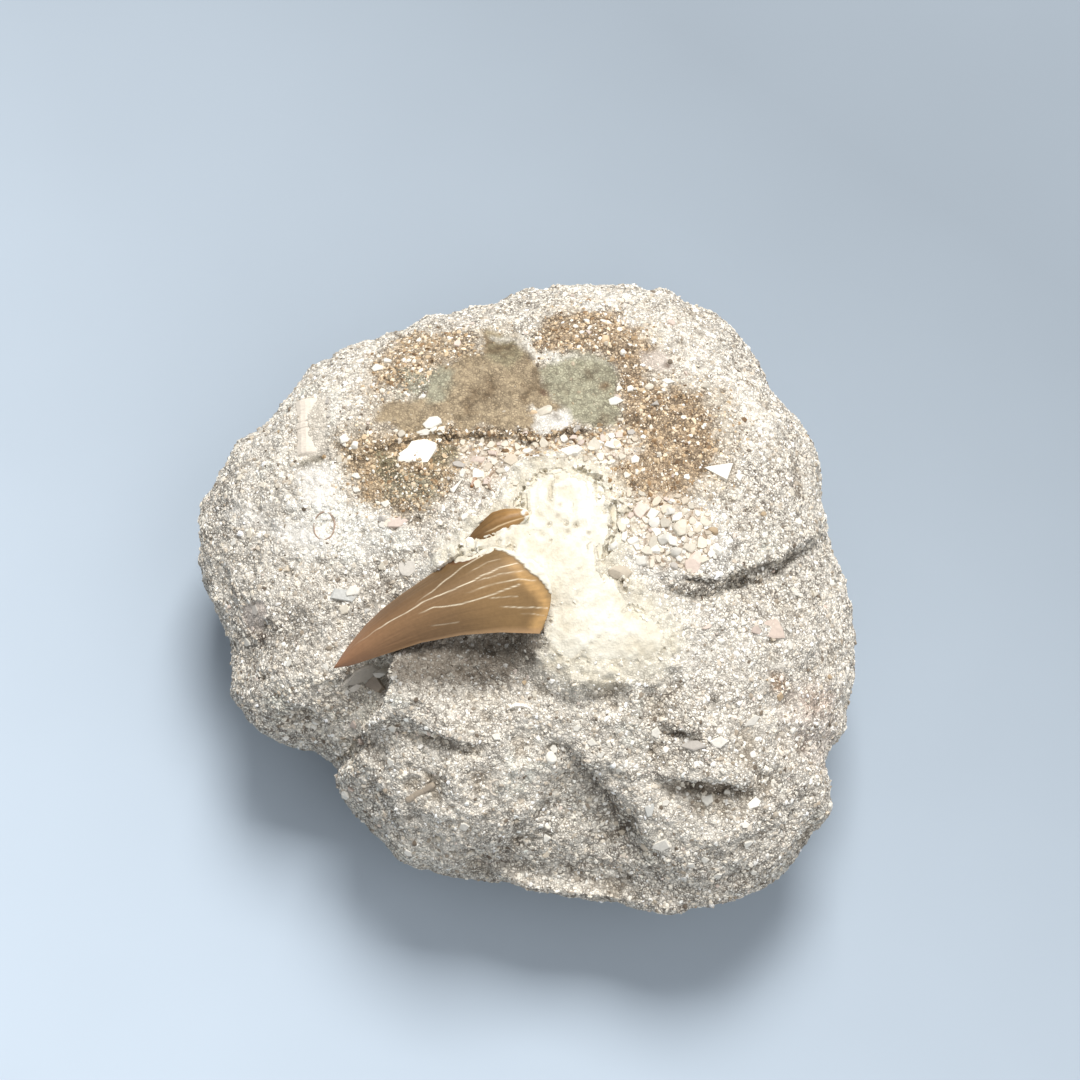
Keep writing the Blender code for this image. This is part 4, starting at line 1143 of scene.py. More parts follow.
def make_grains(layer, triangles, weight):
    rng = np.random.default_rng(layer["seed"])
    count = layer["count"]
    places, normals = sprinkle(rng, triangles, weight, count)
    shape, faces = solid_shape(layer["shape"])
    low, high = layer["radii"]
    radius = low + (high - low) * rng.random(count) ** 1.6
    colour = grain_colours(rng, places)
    stretch = 1 + GRAIN_STRETCH * (rng.random((count, 1, 3)) * 2 - 1)
    jitter = 1 + GRAIN_JITTER * (rng.random((count, len(shape), 1)) * 2 - 1)
    body = shape[None] * jitter * stretch * radius[:, None, None]
    body[..., 2] *= GRAIN_THICKNESS
    body = np.einsum("nij,nkj->nki", lying_frames(rng, normals, GRAIN_TILT), body)
    centres = places - normals * (radius * GRAIN_SINK)[:, None]
    points = (body + centres[:, None]).reshape(-1, 3)
    points[:, 2] = np.maximum(points[:, 2], 0.05)
    corners = (faces[None] + (np.arange(count) * len(shape))[:, None, None]).reshape(-1, 3)
    item = make_mesh(layer["name"], points, corners, np.repeat(colour, len(shape), axis=0))
    item.data.materials.append(MATERIALS["grains"])
    return item


# ---------------------------------------------------------------- bits of shell and bone
class Bits:
    """Collects small closed shapes into one mesh."""

    def __init__(self, tree):
        self.tree = tree
        self.bm = bmesh.new()
        self.colours = []
        self.glosses = []

    def ground(self, x, y):
        """Where the skin is at x, y, and a frame whose third axis stands on it."""
        spot, _, _, _ = self.tree.ray_cast(Vector((x, y, 90.0)), Vector((0, 0, -1)))
        if spot is None:
            return None
        around = []
        for dx, dy in ((0.8, 0), (-0.8, 0), (0, 0.8), (0, -0.8)):
            hit = self.tree.ray_cast(Vector((x + dx, y + dy, 90.0)), Vector((0, 0, -1)))[0]
            around.append(hit or spot)
        up = (around[0] - around[1]).cross(around[2] - around[3])
        up = up.normalized() if up.length > 1e-6 else Vector((0, 0, 1))
        side = Vector((1, 0, 0)) - up * up.x
        side.normalize()
        turn = Matrix((side, up.cross(side), up)).transposed()
        middle = sum(around, Vector()) / 4
        return Vector((x, y, middle.z)), turn

    def add(self, points, faces, place, turn, colour, gloss):
        verts = [self.bm.verts.new(place + turn @ Vector(p)) for p in points]
        for face in faces:
            self.bm.faces.new([verts[i] for i in face])
        self.colours += [colour] * len(points)
        self.glosses += [gloss] * len(points)

    def finish(self, name, material):
        self.bm.verts.index_update()
        bmesh.ops.triangulate(self.bm, faces=self.bm.faces[:])
        bmesh.ops.recalc_face_normals(self.bm, faces=self.bm.faces[:])
        points = np.array([v.co for v in self.bm.verts])
        faces = np.array([[v.index for v in f.verts] for f in self.bm.faces])
        self.bm.free()
        item = make_mesh(name, points, faces, np.array(self.colours), {"gloss": self.glosses})
        item.data.materials.append(material)
        return item


def tinted(rng, colour, spread=0.09):
    return np.clip(linear(colour) * (1 + rng.normal(0, spread)), 0.01, 0.97)


def add_chip(bits, rng, row, gloss=0.3, sink=0.35):
    """A flat angular chip whose upper edges are a little broken."""
    x, y, length, width, height, turn, corners, colour = row
    ground = bits.ground(x, y)
    if ground is None:
        return
    place, axes = ground
    corners = corners if corners == 3 else max(corners, 5)
    turns = (np.arange(corners) + rng.uniform(-0.32, 0.32, corners)) / corners * 2 * math.pi
    radii = rng.uniform(0.74, 1.12, corners)
    plan = np.stack([np.cos(turns) * radii * length / 2, np.sin(turns) * radii * width / 2], axis=1)
    plan *= CHIP_SPREAD
    spin = math.radians(turn)
    plan = plan @ np.array([[math.cos(spin), math.sin(spin)], [-math.sin(spin), math.cos(spin)]])
    tilt = rng.uniform(-0.10, 0.10, 2)
    height *= CHIP_HEIGHT
    layers = [(1.04, -sink * height - 0.5), (1.0, height * 0.62), (0.86, height)]
    points = []
    for share, level in layers:
        for p in plan:
            wobble = rng.uniform(-0.04, 0.04, 3) * min(length, width)
            points.append((p[0] * share + wobble[0], p[1] * share + wobble[1],
                           level + p @ tilt + wobble[2] * 0.5))
    points.append((0, 0, height * 1.04))
    points.append((0, 0, -sink * height - 0.5))
    faces = []
    for ring in range(2):
        for i in range(corners):
            j = (i + 1) % corners
            a, b = ring * corners, (ring + 1) * corners
            faces.append((a + i, a + j, b + j, b + i))
    for i in range(corners):
        j = (i + 1) % corners
        faces.append((2 * corners + i, 2 * corners + j, 3 * corners))
        faces.append((j, i, 3 * corners + 1))
    bits.add(points, faces, place, axes, tinted(rng, colour), gloss)


def add_pebble(bits, rng, row, gloss=0.1, sink=0.3):
    """A rounded pebble with a few flats."""
    x, y, length, width, height, turn, colour = row
    ground = bits.ground(x, y)
    if ground is None:
        return
    place, axes = ground
    ball = bmesh.new()
    bmesh.ops.create_icosphere(ball, subdivisions=2 if length < 1.4 else 3, radius=1.0)
    points = np.array([v.co for v in ball.verts])
    faces = [[v.index for v in f.verts] for f in ball.faces]
    ball.free()
    for _ in range(9):
        facing = rng.normal(size=3)
        facing /= np.linalg.norm(facing)
        points -= np.outer(np.maximum(points @ facing - rng.uniform(0.60, 0.85), 0), facing)
    points *= 1 + 0.05 * value_noise(points, 0.5, int(rng.integers(1000)))[:, None]
    height *= PEBBLE_HEIGHT
    points *= np.array([length / 2, width / 2, height / 2 + 0.3]) * 1.15
    points[:, 2] += height * (0.5 - sink) - 0.25
    spin = Matrix.Rotation(math.radians(turn), 3, "Z")
    bits.add(points, faces, place, axes @ spin, tinted(rng, colour), gloss)


def add_tube(bits, rng, tube, gloss=0.2):
    """A rounded bar that lies in the skin, with fine lines around it."""
    (x0, y0), (x1, y1) = tube["ends"]
    count, sides = 60, 20
    spots = []
    for share in np.linspace(0, 1, 7):
        place, _ = bits.ground(x0 + (x1 - x0) * share, y0 + (y1 - y0) * share)
        spots.append(place.z)
    level = np.polyfit(np.linspace(0, 1, 7), spots, 1)
    run = Vector((x1 - x0, y1 - y0, level[0]))
    side = run.cross(Vector((0, 0, 1))).normalized()
    up = side.cross(run).normalized()
    points, faces = [], []
    for i in range(count):
        share = i / (count - 1)
        end = min(1.0, min(share, 1 - share) * 14) ** 0.5
        line = max(math.exp(-(((share - band) * run.length / 0.12) ** 2)) for band in tube["bands"])
        radius = tube["radius"] * (0.35 + 0.65 * end) * (1 - 0.06 * line)
        radius *= 1 + 0.03 * math.sin(share * 17)
        centre = Vector((x0, y0, level[1])) + run * share - up * tube["sink"] * tube["radius"]
        for j in range(sides):
            turn = 2 * math.pi * j / sides
            rough = 1 + 0.005 * rng.normal()
            points.append(centre + (side * math.cos(turn) + up * math.sin(turn) * 0.8)
                          * radius * rough)
    for i in range(count - 1):
        for j in range(sides):
            k = (j + 1) % sides
            faces.append((i * sides + j, i * sides + k, (i + 1) * sides + k, (i + 1) * sides + j))
    points.append(Vector((x0, y0, level[1])) - up * tube["sink"] * tube["radius"])
    points.append(Vector((x1, y1, level[1] + level[0])) - up * tube["sink"] * tube["radius"])
    for j in range(sides):
        k = (j + 1) % sides
        faces.append((k, j, len(points) - 2))
        faces.append(((count - 1) * sides + j, (count - 1) * sides + k, len(points) - 1))
    bits.add(points, faces, Vector(), Matrix.Identity(3), tinted(rng, tube["colour"], 0.0), gloss)


def add_arc(bits, rng, centre, radii, span, thick, colour, gloss=0.3):
    """A thin raised line round a centre: part of the edge of a shell, or a whole ring."""
    x, y = centre
    whole = span[1] - span[0] >= 360
    count, sides = 48 if whole else 24, 6
    points, faces = [], []
    for i in range(count):
        turn = math.radians(span[0] + (span[1] - span[0]) * i / (count if whole else count - 1))
        px = x + radii[0] * math.cos(turn)
        py = y + radii[1] * math.sin(turn)
        place, _ = bits.ground(px, py)
        out = Vector((math.cos(turn), math.sin(turn), 0))
        ends = 1.0 if whole else max(0.15, math.sin(math.pi * i / (count - 1))) ** 0.5
        for j in range(sides):
            a = 2 * math.pi * j / sides
            points.append(place + (out * math.cos(a) + Vector((0, 0, 1)) * math.sin(a) * 1.3)
                          * thick * ends * (1 + 0.1 * rng.normal()))
    last = count if whole else count - 1
    for i in range(last):
        k = (i + 1) % count
        for j in range(sides):
            n = (j + 1) % sides
            faces.append((i * sides + j, i * sides + n, k * sides + n, k * sides + j))
    if not whole:
        faces.append(tuple(range(sides)))
        faces.append(tuple((count - 1) * sides + j for j in reversed(range(sides))))
    bits.add(points, faces, Vector(), Matrix.Identity(3), tinted(rng, colour, 0.0), gloss)


def add_rubble(bits, outline, count, sizes, seed):
    """Angular bits set close together inside an outline, the largest first."""
    rng = np.random.default_rng(seed)
    corners = np.array(outline)
    low, high = corners.min(axis=0), corners.max(axis=0)
    placed = np.empty((0, 3))
    for size in sorted(sizes[0] + (sizes[1] - sizes[0]) * rng.random(count) ** 1.8, reverse=True):
        for _ in range(RUBBLE_TRIES):
            spot = low + (high - low) * rng.random(2)
            if inside(spot[None], outline)[0] < 0:
                continue
            away = np.hypot(*(placed[:, :2] - spot).T) - placed[:, 2]
            if len(placed) and away.min() < 0.42 * size:
                continue
            placed = np.vstack([placed, [*spot, 0.42 * size]])
            colour = RUBBLE_COLOURS[rng.choice(len(RUBBLE_COLOURS),
                                               p=[share for share, _ in RUBBLE_COLOURS])][1]
            add_chip(bits, rng, (*spot, size, size * rng.uniform(0.5, 0.95), 0.25 + 0.2 * size,
                                 rng.uniform(0, 360), int(rng.integers(5, 8)), colour), gloss=0.2)
            break


def make_bits(tree, triangles, weight):
    rng = np.random.default_rng(SCATTERED["seed"])
    bits = Bits(tree)
    for row in CHIPS:
        glassy = row[7] in (GLASS, AMBER)
        add_chip(bits, rng, row, gloss=0.9 if glassy else 0.35)
    for row in TIP_CHUNK:
        add_chip(bits, rng, row, gloss=0.7, sink=0.8)
    for row in PEBBLES:
        add_pebble(bits, rng, row)
    add_tube(bits, rng, TUBE_BONE)
    add_tube(bits, rng, ROD)
    add_arc(bits, rng, RING["at"], RING["radii"], (0, 360), RING["thick"], RING["colour"])
    for arc in ARCS:
        add_arc(bits, rng, arc["at"], (arc["radius"],) * 2, arc["span"], arc["thick"], arc["colour"])
    for rubble in RUBBLE:
        add_rubble(bits, *rubble)
    places, _ = sprinkle(rng, triangles, weight, SCATTERED["count"])
    low, high = SCATTERED["sizes"]
    shares = np.array([share for share, _ in SCATTER_COLOURS])
    for x, y, z in places:
        size = low + (high - low) * rng.random() ** 2.2
        colour = SCATTER_COLOURS[rng.choice(len(shares), p=shares / shares.sum())][1]
        if z < 22 or inside(np.array([[x, y]]), REGIONS["shade"][0])[0] > -1.0:
            continue
        if rng.random() < 0.8:
            add_chip(bits, rng, (x, y, size, size * rng.uniform(0.6, 1.0), 0.25 + 0.2 * size,
                                 rng.uniform(0, 360), int(rng.integers(3, 7)), colour))
        else:
            add_pebble(bits, rng, (x, y, size, size * rng.uniform(0.7, 1.0), size * 0.6,
                                   rng.uniform(0, 360), colour))
    return bits.finish("shell_bits", MATERIALS["bits"])


# ---------------------------------------------------------------- the tooth
def along(line, share):
    """The points at shares of the line's length."""
    corners = np.array(line, float)
    lengths = np.hypot(*np.diff(corners, axis=0).T)
    passed = np.concatenate([[0], np.cumsum(lengths)]) / lengths.sum()
    return np.stack([np.interp(share, passed, corners[:, i]) for i in (0, 1)], axis=-1)


def blade(name, cusp, grid, relief):
    """A cusp: lens-shaped sections from one cutting edge to the other, and a rounded base. Each
    point keeps its share of the length, its place across and whether it is on top."""
    rings = grid["rings"]
    turns = np.concatenate([np.linspace(0, math.pi, grid["top"], endpoint=False),
                            np.linspace(math.pi, 2 * math.pi, grid["bottom"], endpoint=False)])
    shares = (np.arange(1, rings) / rings)
    share, turn = (a.ravel() for a in np.meshgrid(shares, turns, indexing="ij"))
    share = np.concatenate([share, [0.0, 1.0]])
    across = np.concatenate([np.cos(turn), [0.0, 0.0]])
    over = np.concatenate([np.sin(turn), [0.0, 0.0]])
    passed = np.minimum(1.0, share / ROUND_BASE_FROM)
    late = np.maximum(0.0, share - ROUND_BASE_FROM) / (1 - ROUND_BASE_FROM)
    closing = np.sqrt(np.clip(1 - late**2, 0, 1))
    first, last = along(cusp["upper edge"], passed), along(cusp["lower edge"], passed)
    middle, half = (first + last) / 2, (first - last) / 2
    forward = np.stack([half[:, 1], -half[:, 0]], axis=1)
    forward /= np.maximum(1e-6, np.hypot(half[:, 0], half[:, 1]))[:, None]
    bow = cusp["bow"] * (1 - across**2) * (1 - 0.3 * across) * passed**3
    plan = middle + half * (across * closing)[:, None] + forward * bow[:, None]
    tip_level, base_level = cusp["levels"]
    level = tip_level + (base_level - tip_level) * passed
    thickness = np.where(over > 0, cusp["above"], -cusp["below"])
    swell = np.sin(math.pi / 2 * np.minimum(1.0, passed * 1.25)) ** 0.8
    height = level + thickness * swell * over * over * closing
    points = np.column_stack([plan, height])
    sides = len(turns)
    i, j = np.meshgrid(np.arange(rings - 2), np.arange(sides), indexing="ij")
    k = (j + 1) % sides
    quads = np.stack([i * sides + j, (i + 1) * sides + j, (i + 1) * sides + k, i * sides + k],
                     axis=-1).reshape(-1, 4)
    triangles = np.concatenate([quads[:, [0, 1, 2]], quads[:, [0, 2, 3]]])
    tip, base = len(points) - 2, len(points) - 1
    ring = np.arange(sides)
    after = (ring + 1) % sides
    end = (rings - 2) * sides
    triangles = np.concatenate([
        triangles,
        np.stack([np.full(sides, tip), ring, after], axis=1),
        np.stack([np.full(sides, base), end + after, end + ring], axis=1),
    ])
    item = make_mesh(name, points, triangles, smooth=True)
    bm = bmesh.new()
    bm.from_mesh(item.data)
    bmesh.ops.recalc_face_normals(bm, faces=bm.faces[:])
    bm.to_mesh(item.data)
    bm.free()
    values = {"share": share, "across": across, "over": over}
    rise, colour = relief(points, values)
    points += normals_of(item.data) * rise[:, None]
    set_points(item.data, points)
    layer = item.data.attributes.new("tint", "FLOAT_COLOR", "POINT")
    layer.data.foreach_set("color", np.column_stack(
        [colour, np.ones(len(points))]).astype(np.float32).ravel())
    for key in ("share", "across", "chalk"):
        layer = item.data.attributes.new(key, "FLOAT", "POINT")
        layer.data.foreach_set("value", values[key].astype(np.float32))
    item.data.materials.append(MATERIALS["enamel"])
    return item


def ramp(stops, share):
    shares = [s for s, _ in stops]
    colours = np.array([linear(c) for _, c in stops])
    return np.stack([np.interp(share, shares, colours[:, i]) for i in range(3)], axis=1)


def crown_marks(points, values):
    """Relief and colour of the crown: a fan of pale cracks, bands near its base, and the chalk
    that laps over it there."""
    share, across = values["share"] / ROUND_BASE_FROM, values["across"]
    ways = np.column_stack([share * 6, across * 18, np.zeros(len(share))])
    streak = value_noise(ways, 1.0, 201) * 0.5 + value_noise(ways * [2, 2.4, 1], 1.0, 202) * 0.5
    cloud = value_noise(points, 5.0, 203)
    colour = ramp(CROWN_RAMP, np.clip(share + 0.03 * streak + 0.02 * cloud, 0, 1))
    # Painted shade: darker towards the upper edge, where the light falls most
    shade = 1 - CROWN_SHADE * smoothstep(across, -0.3, 0.9) * smoothstep(share, 0.1, 0.5)
    colour *= (shade * (1 + 0.06 * streak + 0.08 * cloud))[:, None]
    plan = points[:, :2] + 0.12 * np.stack([value_noise(points, 1.4, 205),
                                            value_noise(points, 1.4, 206)], axis=1)
    top = smoothstep(values["over"], -0.2, 0.0)
    ragged = 0.22 * value_noise(points, 0.9, 208) + 0.14 * value_noise(points, 0.4, 209)
    beyond = to_line(points[:, :2], CROWN_MARGIN)[0] + ragged
    for inward, width, tone, strength in CROWN_BANDS:
        band = np.exp(-(((beyond + inward) / width) ** 2)) * smoothstep(points[:, 0], -3.5, 1.0)
        colour = mix(colour, linear(tone), strength * band * (0.8 + 0.4 * streak))
    for x, y, reach, rise, tone in CROWN_STAINS:
        away = np.hypot((plan[:, 0] - x) / reach, (plan[:, 1] - y) / rise)
        colour = mix(colour, linear(tone), 0.85 * smoothstep(-away, -1.2, -0.7))
    # Pale cutting edges, the lower one partly a painted highlight
    edge = smoothstep(np.abs(across), 0.90, 1.0) * smoothstep(share, 0.10, 0.5)
    colour = mix(colour, linear(CROWN_EDGE_PALE_AND_HIGHLIGHT), (0.6 * (across < 0) + 0.15) * edge)
    rise = 0.02 * streak * (1 - edge)
    for line, strength in CROWN_CRACKS:
        distance, passed = to_line(plan, line)
        mark = np.exp(-((distance / CRACK_WIDTH) ** 2)) * strength * top
        mark *= smoothstep(passed, -0.001, 0.25) * (0.75 + 0.25 * value_noise(points, 0.8, 207))
        colour = mix(colour, linear(CRACK_COLOUR), np.clip(mark, 0, 1))
        rise -= 0.04 * mark
    chalk = smoothstep(beyond, -0.03, 0.10) * top * smoothstep(points[:, 0], -10.5, -9.5)
    grain = value_noise(points, 0.7, 210) * 0.6 + value_noise(points, 0.35, 211) * 0.4
    pale = mix(linear(ROOT_COLOURS["low"]), linear(ROOT_COLOURS["high"]),
               np.clip(0.7 + 0.5 * grain, 0, 1))
    colour = mix(colour, pale, chalk)
    rise += chalk * (0.14 + 0.12 * grain)
    values["chalk"] = chalk
    return rise, np.clip(colour, 0.005, 0.95)


def cusp_marks(points, values):
    share, across = values["share"] / ROUND_BASE_FROM, values["across"]
    ways = np.column_stack([share * 5, across * 8, np.zeros(len(share))])
    streak = value_noise(ways, 1.0, 221)
    colour = ramp(CUSP_RAMP, np.clip(share + 0.05 * streak, 0, 1)) * (1 + 0.10 * streak)[:, None]
    line = np.exp(-(((across + 0.30 + 0.25 * (share - 0.6)) / 0.05) ** 2))
    colour = mix(colour, linear((232, 208, 168)), 0.7 * line * smoothstep(share, 0.3, 0.5))
    ragged = share + 0.07 * value_noise(points, 0.9, 222)
    chalk = smoothstep(ragged, 0.93, 0.97)
    colour = mix(colour, linear(ROOT_COLOURS["high"]), chalk)
    values["chalk"] = chalk
    return 0.02 * streak + 0.1 * chalk, np.clip(colour, 0.005, 0.95)


def make_root(cusps):
    bm = bmesh.new()
    for x, y, z, length, width, height, turn in ROOT_MASSES:
        mass = bmesh.ops.create_icosphere(bm, subdivisions=4, radius=MM)["verts"]
        bmesh.ops.scale(bm, vec=(length, width, height), verts=mass)
        bmesh.ops.rotate(bm, verts=mass, cent=(0, 0, 0),
                         matrix=Matrix.Rotation(math.radians(turn), 3, "Z"))
        bmesh.ops.translate(bm, vec=Vector((x, y, z)) * MM, verts=mass)
    mesh = bpy.data.meshes.new("tooth_root")
    bm.to_mesh(mesh)
    bm.free()
    item = bpy.data.objects.new("tooth_root", mesh)
    bpy.context.scene.collection.objects.link(item)
    skin = item.modifiers.new("one skin", "REMESH")
    skin.mode = "VOXEL"
    skin.voxel_size = ROOT_VOXEL * MM
    even = item.modifiers.new("even out", "SMOOTH")
    even.factor = 0.5
    even.iterations = ROOT_SMOOTHING
    mesh = apply_modifiers(item)
    points, normals = points_of(mesh), normals_of(mesh)
    upper = smoothstep(points[:, 1], -4.0, 3.0)
    along_y = points * [1.6, 0.35, 1.0]
    streak = value_noise(along_y, 1.1, 231)
    rise = 0.16 * value_noise(points, 2.2, 232) + 0.10 * value_noise(points, 0.9, 233)
    rise += 0.07 * value_noise(points, 0.5, 234)
    rise += upper * (0.22 * streak + 0.18 * value_noise(points, 1.3, 235))
    first, _, own = cell_noise(points, 1.3, 236)
    pit = smoothstep(0.42 - first, 0.0, 0.3) * (own > 0.72) * (0.35 + 0.65 * upper)
    rise -= 0.30 * pit
    points += normals * rise[:, None]
    points[:, 2] = np.maximum(points[:, 2], 30.0)
    points = keep_under(points, cusps, ROOT_BELOW_CUSPS)
    set_points(mesh, points)
    high = np.clip(0.62 + 1.4 * rise + 0.15 * value_noise(points, 3.0, 237), 0, 1)
    colour = mix(linear(ROOT_COLOURS["low"]), linear(ROOT_COLOURS["high"]), high)
    colour = mix(colour, linear((138, 120, 96)), 0.55 * pit * upper)
    for spot in ((5.2, 5.4), (6.6, 3.1), (4.0, 7.8), (5.5, 7.0)):
        away = np.hypot(points[:, 0] - spot[0], points[:, 1] - spot[1])
        colour = mix(colour, linear((150, 132, 106)), 0.6 * np.exp(-((away / 0.35) ** 2)))
    layer = mesh.attributes.new("tint", "FLOAT_COLOR", "POINT")
    layer.data.foreach_set("color", np.column_stack(
        [colour, np.ones(len(points))]).astype(np.float32).ravel())
    mesh.polygons.foreach_set("use_smooth", np.full(len(mesh.polygons), True))
    mesh.materials.append(MATERIALS["root"])
    return item


# ---------------------------------------------------------------- materials
class Nodes:
    """Builds one material's node tree."""

    def __init__(self, name):
        self.material = bpy.data.materials.new(name)
        self.material.use_nodes = True
        self.tree = self.material.node_tree
        self.shader = self.tree.nodes["Principled BSDF"]

    def add(self, kind, inputs=None, **settings):
        made = self.tree.nodes.new(kind)
        for key, value in settings.items():
            setattr(made, key, value)
        for key, value in (inputs or {}).items():
            if isinstance(value, bpy.types.NodeSocket):
                self.tree.links.new(value, made.inputs[key])
            else:
                made.inputs[key].default_value = value
        return made

    def attribute(self, name, output="Color"):
        return self.add("ShaderNodeAttribute", attribute_name=name).outputs[output]

    def place(self):
        return self.add("ShaderNodeTexCoord").outputs["Object"]

    def noise(self, vector, size, detail=3.0, roughness=0.6):
        """Noise with features of about this size in mm."""
        return self.add("ShaderNodeTexNoise", {"Vector": vector, "Scale": 1 / (size * MM),
                                               "Detail": detail, "Roughness": roughness}
                        ).outputs["Fac"]

    def cells(self, vector, size, output="Distance"):
        return self.add("ShaderNodeTexVoronoi", {"Vector": vector, "Scale": 1 / (size * MM)}
                        ).outputs[output]

    def own(self, vector, size):
        """A value from 0 to 1 that belongs to each cell of this size in mm."""
        cell = self.add("ShaderNodeTexVoronoi", {"Vector": vector, "Scale": 1 / (size * MM)})
        return self.add("ShaderNodeSeparateColor", {"Color": cell.outputs["Color"]}).outputs[0]

    def edges(self, vector, size):
        """Distance from the nearest border between cells of this size in mm, as a share of it."""
        return self.add("ShaderNodeTexVoronoi", {"Vector": vector, "Scale": 1 / (size * MM)},
                        feature="DISTANCE_TO_EDGE").outputs["Distance"]

    def blend(self, share, colour, other):
        """The colour with a share of another, fixed one over it."""
        made = self.add("ShaderNodeMix", data_type="RGBA")
        self.tree.links.new(share, made.inputs[0])
        self.tree.links.new(colour, made.inputs[6])
        made.inputs[7].default_value = (*other, 1.0)
        return made.outputs[2]

    def spread(self, value, low, high, to_low, to_high):
        return self.add("ShaderNodeMapRange", {"Value": value, "From Min": low, "From Max": high,
                                               "To Min": to_low, "To Max": to_high}
                        ).outputs["Result"]

    def sums(self, kind, first, second):
        return self.add("ShaderNodeMath", {0: first, 1: second}, operation=kind).outputs[0]

    def times(self, colour, value):
        """The colour made lighter or darker by a value."""
        made = self.add("ShaderNodeVectorMath", {0: colour, "Scale": value}, operation="SCALE")
        return made.outputs["Vector"]

    def bump(self, height, strength, distance):
        made = self.add("ShaderNodeBump", {"Height": height, "Strength": strength,
                                           "Distance": distance * MM})
        self.link("Normal", made.outputs["Normal"])

    def link(self, socket, output):
        self.tree.links.new(output, self.shader.inputs[socket])

    def set(self, **values):
        for key, value in values.items():
            self.shader.inputs[key.replace("_", " ")].default_value = value


def limestone_material():
    m = Nodes("limestone")
    at = m.place()
    even, coarse = m.attribute("even", "Fac"), m.attribute("coarse", "Fac")
    broken = m.attribute("broken", "Fac")
    stray = m.add("ShaderNodeTexNoise", {"Vector": at, "Scale": 1 / (0.9 * MM), "Detail": 2.0})
    strayed = m.add("ShaderNodeVectorMath", {0: stray.outputs["Color"], 1: (0.0006,) * 3, 2: at},
                    operation="MULTIPLY_ADD").outputs[0]
    fine = m.noise(at, 0.3, 3.0, 0.7)
    rough = m.sums("MULTIPLY", m.spread(even, 0.0, 1.0, 1.0, 0.25), m.spread(coarse, 0.0, 1.0, 0.6, 1.15))
    own = m.own(strayed, 0.44)
    dull = m.sums("ADD", m.spread(own, 0.0, 0.45, -0.46, 0.0), m.spread(own, 0.45, 1.0, 0.0, 0.10))
    broad = m.spread(m.own(strayed, 1.05), 0.0, 1.0, -0.12, 0.08)
    tone = m.sums("ADD", m.sums("ADD", dull, broad), m.spread(fine, 0.3, 0.7, -0.12, 0.10))
    shown = m.times(m.attribute("tint"), m.sums("ADD", m.sums("MULTIPLY", tone, rough), 1.0))
    # Painted shadow: dark lines along the borders of the grain cells, where the gaps between grains lie in shade
    small, large = m.edges(strayed, 0.44), m.edges(strayed, 1.05)
    lines = m.sums("MAXIMUM", m.spread(small, 0.0, 0.20, 1.0, 0.0), m.spread(large, 0.0, 0.12, 1.0, 0.0))
    patchy = m.spread(m.noise(at, 1.3, 2.0, 0.6), 0.30, 0.56, 0.25, 1.0)
    gap_shadow = m.sums("MULTIPLY", m.sums("MULTIPLY", lines, patchy), rough)
    shown = m.blend(m.sums("MULTIPLY", gap_shadow, 0.82), shown, linear(GAP_SHADOW_COLOUR))
    seams = m.spread(m.edges(strayed, 1.9), 0.0, 0.13, 1.0, 0.0)
    seams = m.sums("MULTIPLY", m.sums("MULTIPLY", seams, broken), patchy)
    bits = m.sums("MULTIPLY", m.spread(m.own(strayed, 1.9), 0.0, 1.0, -0.16, 0.08), broken)
    shown = m.times(shown, m.sums("ADD", bits, 1.0))
    m.link("Base Color", m.blend(m.sums("MULTIPLY", seams, 0.75), shown, linear(SEAM_COLOUR)))
    m.link("Roughness", m.spread(fine, 0.3, 0.7, 0.80, 1.0))
    height = m.sums("ADD", m.sums("MULTIPLY", m.spread(small, 0.0, 0.3, 0.0, 1.0), 0.8),
                    m.sums("ADD", m.sums("MULTIPLY", own, 0.7), fine))
    height = m.sums("SUBTRACT", m.sums("MULTIPLY", height, rough), m.sums("MULTIPLY", seams, 1.4))
    m.bump(height, 0.8, 0.16)
    m.set(Specular_IOR_Level=0.25)
    return m.material


def grains_material():
    m = Nodes("grains")
    at = m.place()
    fine = m.noise(at, 0.22, 2.0, 0.6)
    m.link("Base Color", m.times(m.attribute("tint"), m.spread(fine, 0.3, 0.7, 0.86, 1.10)))
    m.link("Roughness", m.spread(fine, 0.3, 0.7, 0.62, 0.95))
    m.bump(fine, 0.4, 0.08)
    m.set(Specular_IOR_Level=0.35)
    return m.material


def bits_material():
    m = Nodes("shell bits")
    at = m.place()
    fine = m.noise(at, 0.5, 3.0, 0.6)
    m.link("Base Color", m.times(m.attribute("tint"), m.spread(fine, 0.3, 0.7, 0.88, 1.06)))
    gloss = m.attribute("gloss", "Fac")
    rough = m.sums("ADD", m.spread(gloss, 0.0, 1.0, 0.85, 0.28), m.spread(fine, 0.3, 0.7, -0.06, 0.06))
    m.link("Roughness", rough)
    m.bump(fine, 0.35, 0.12)
    return m.material


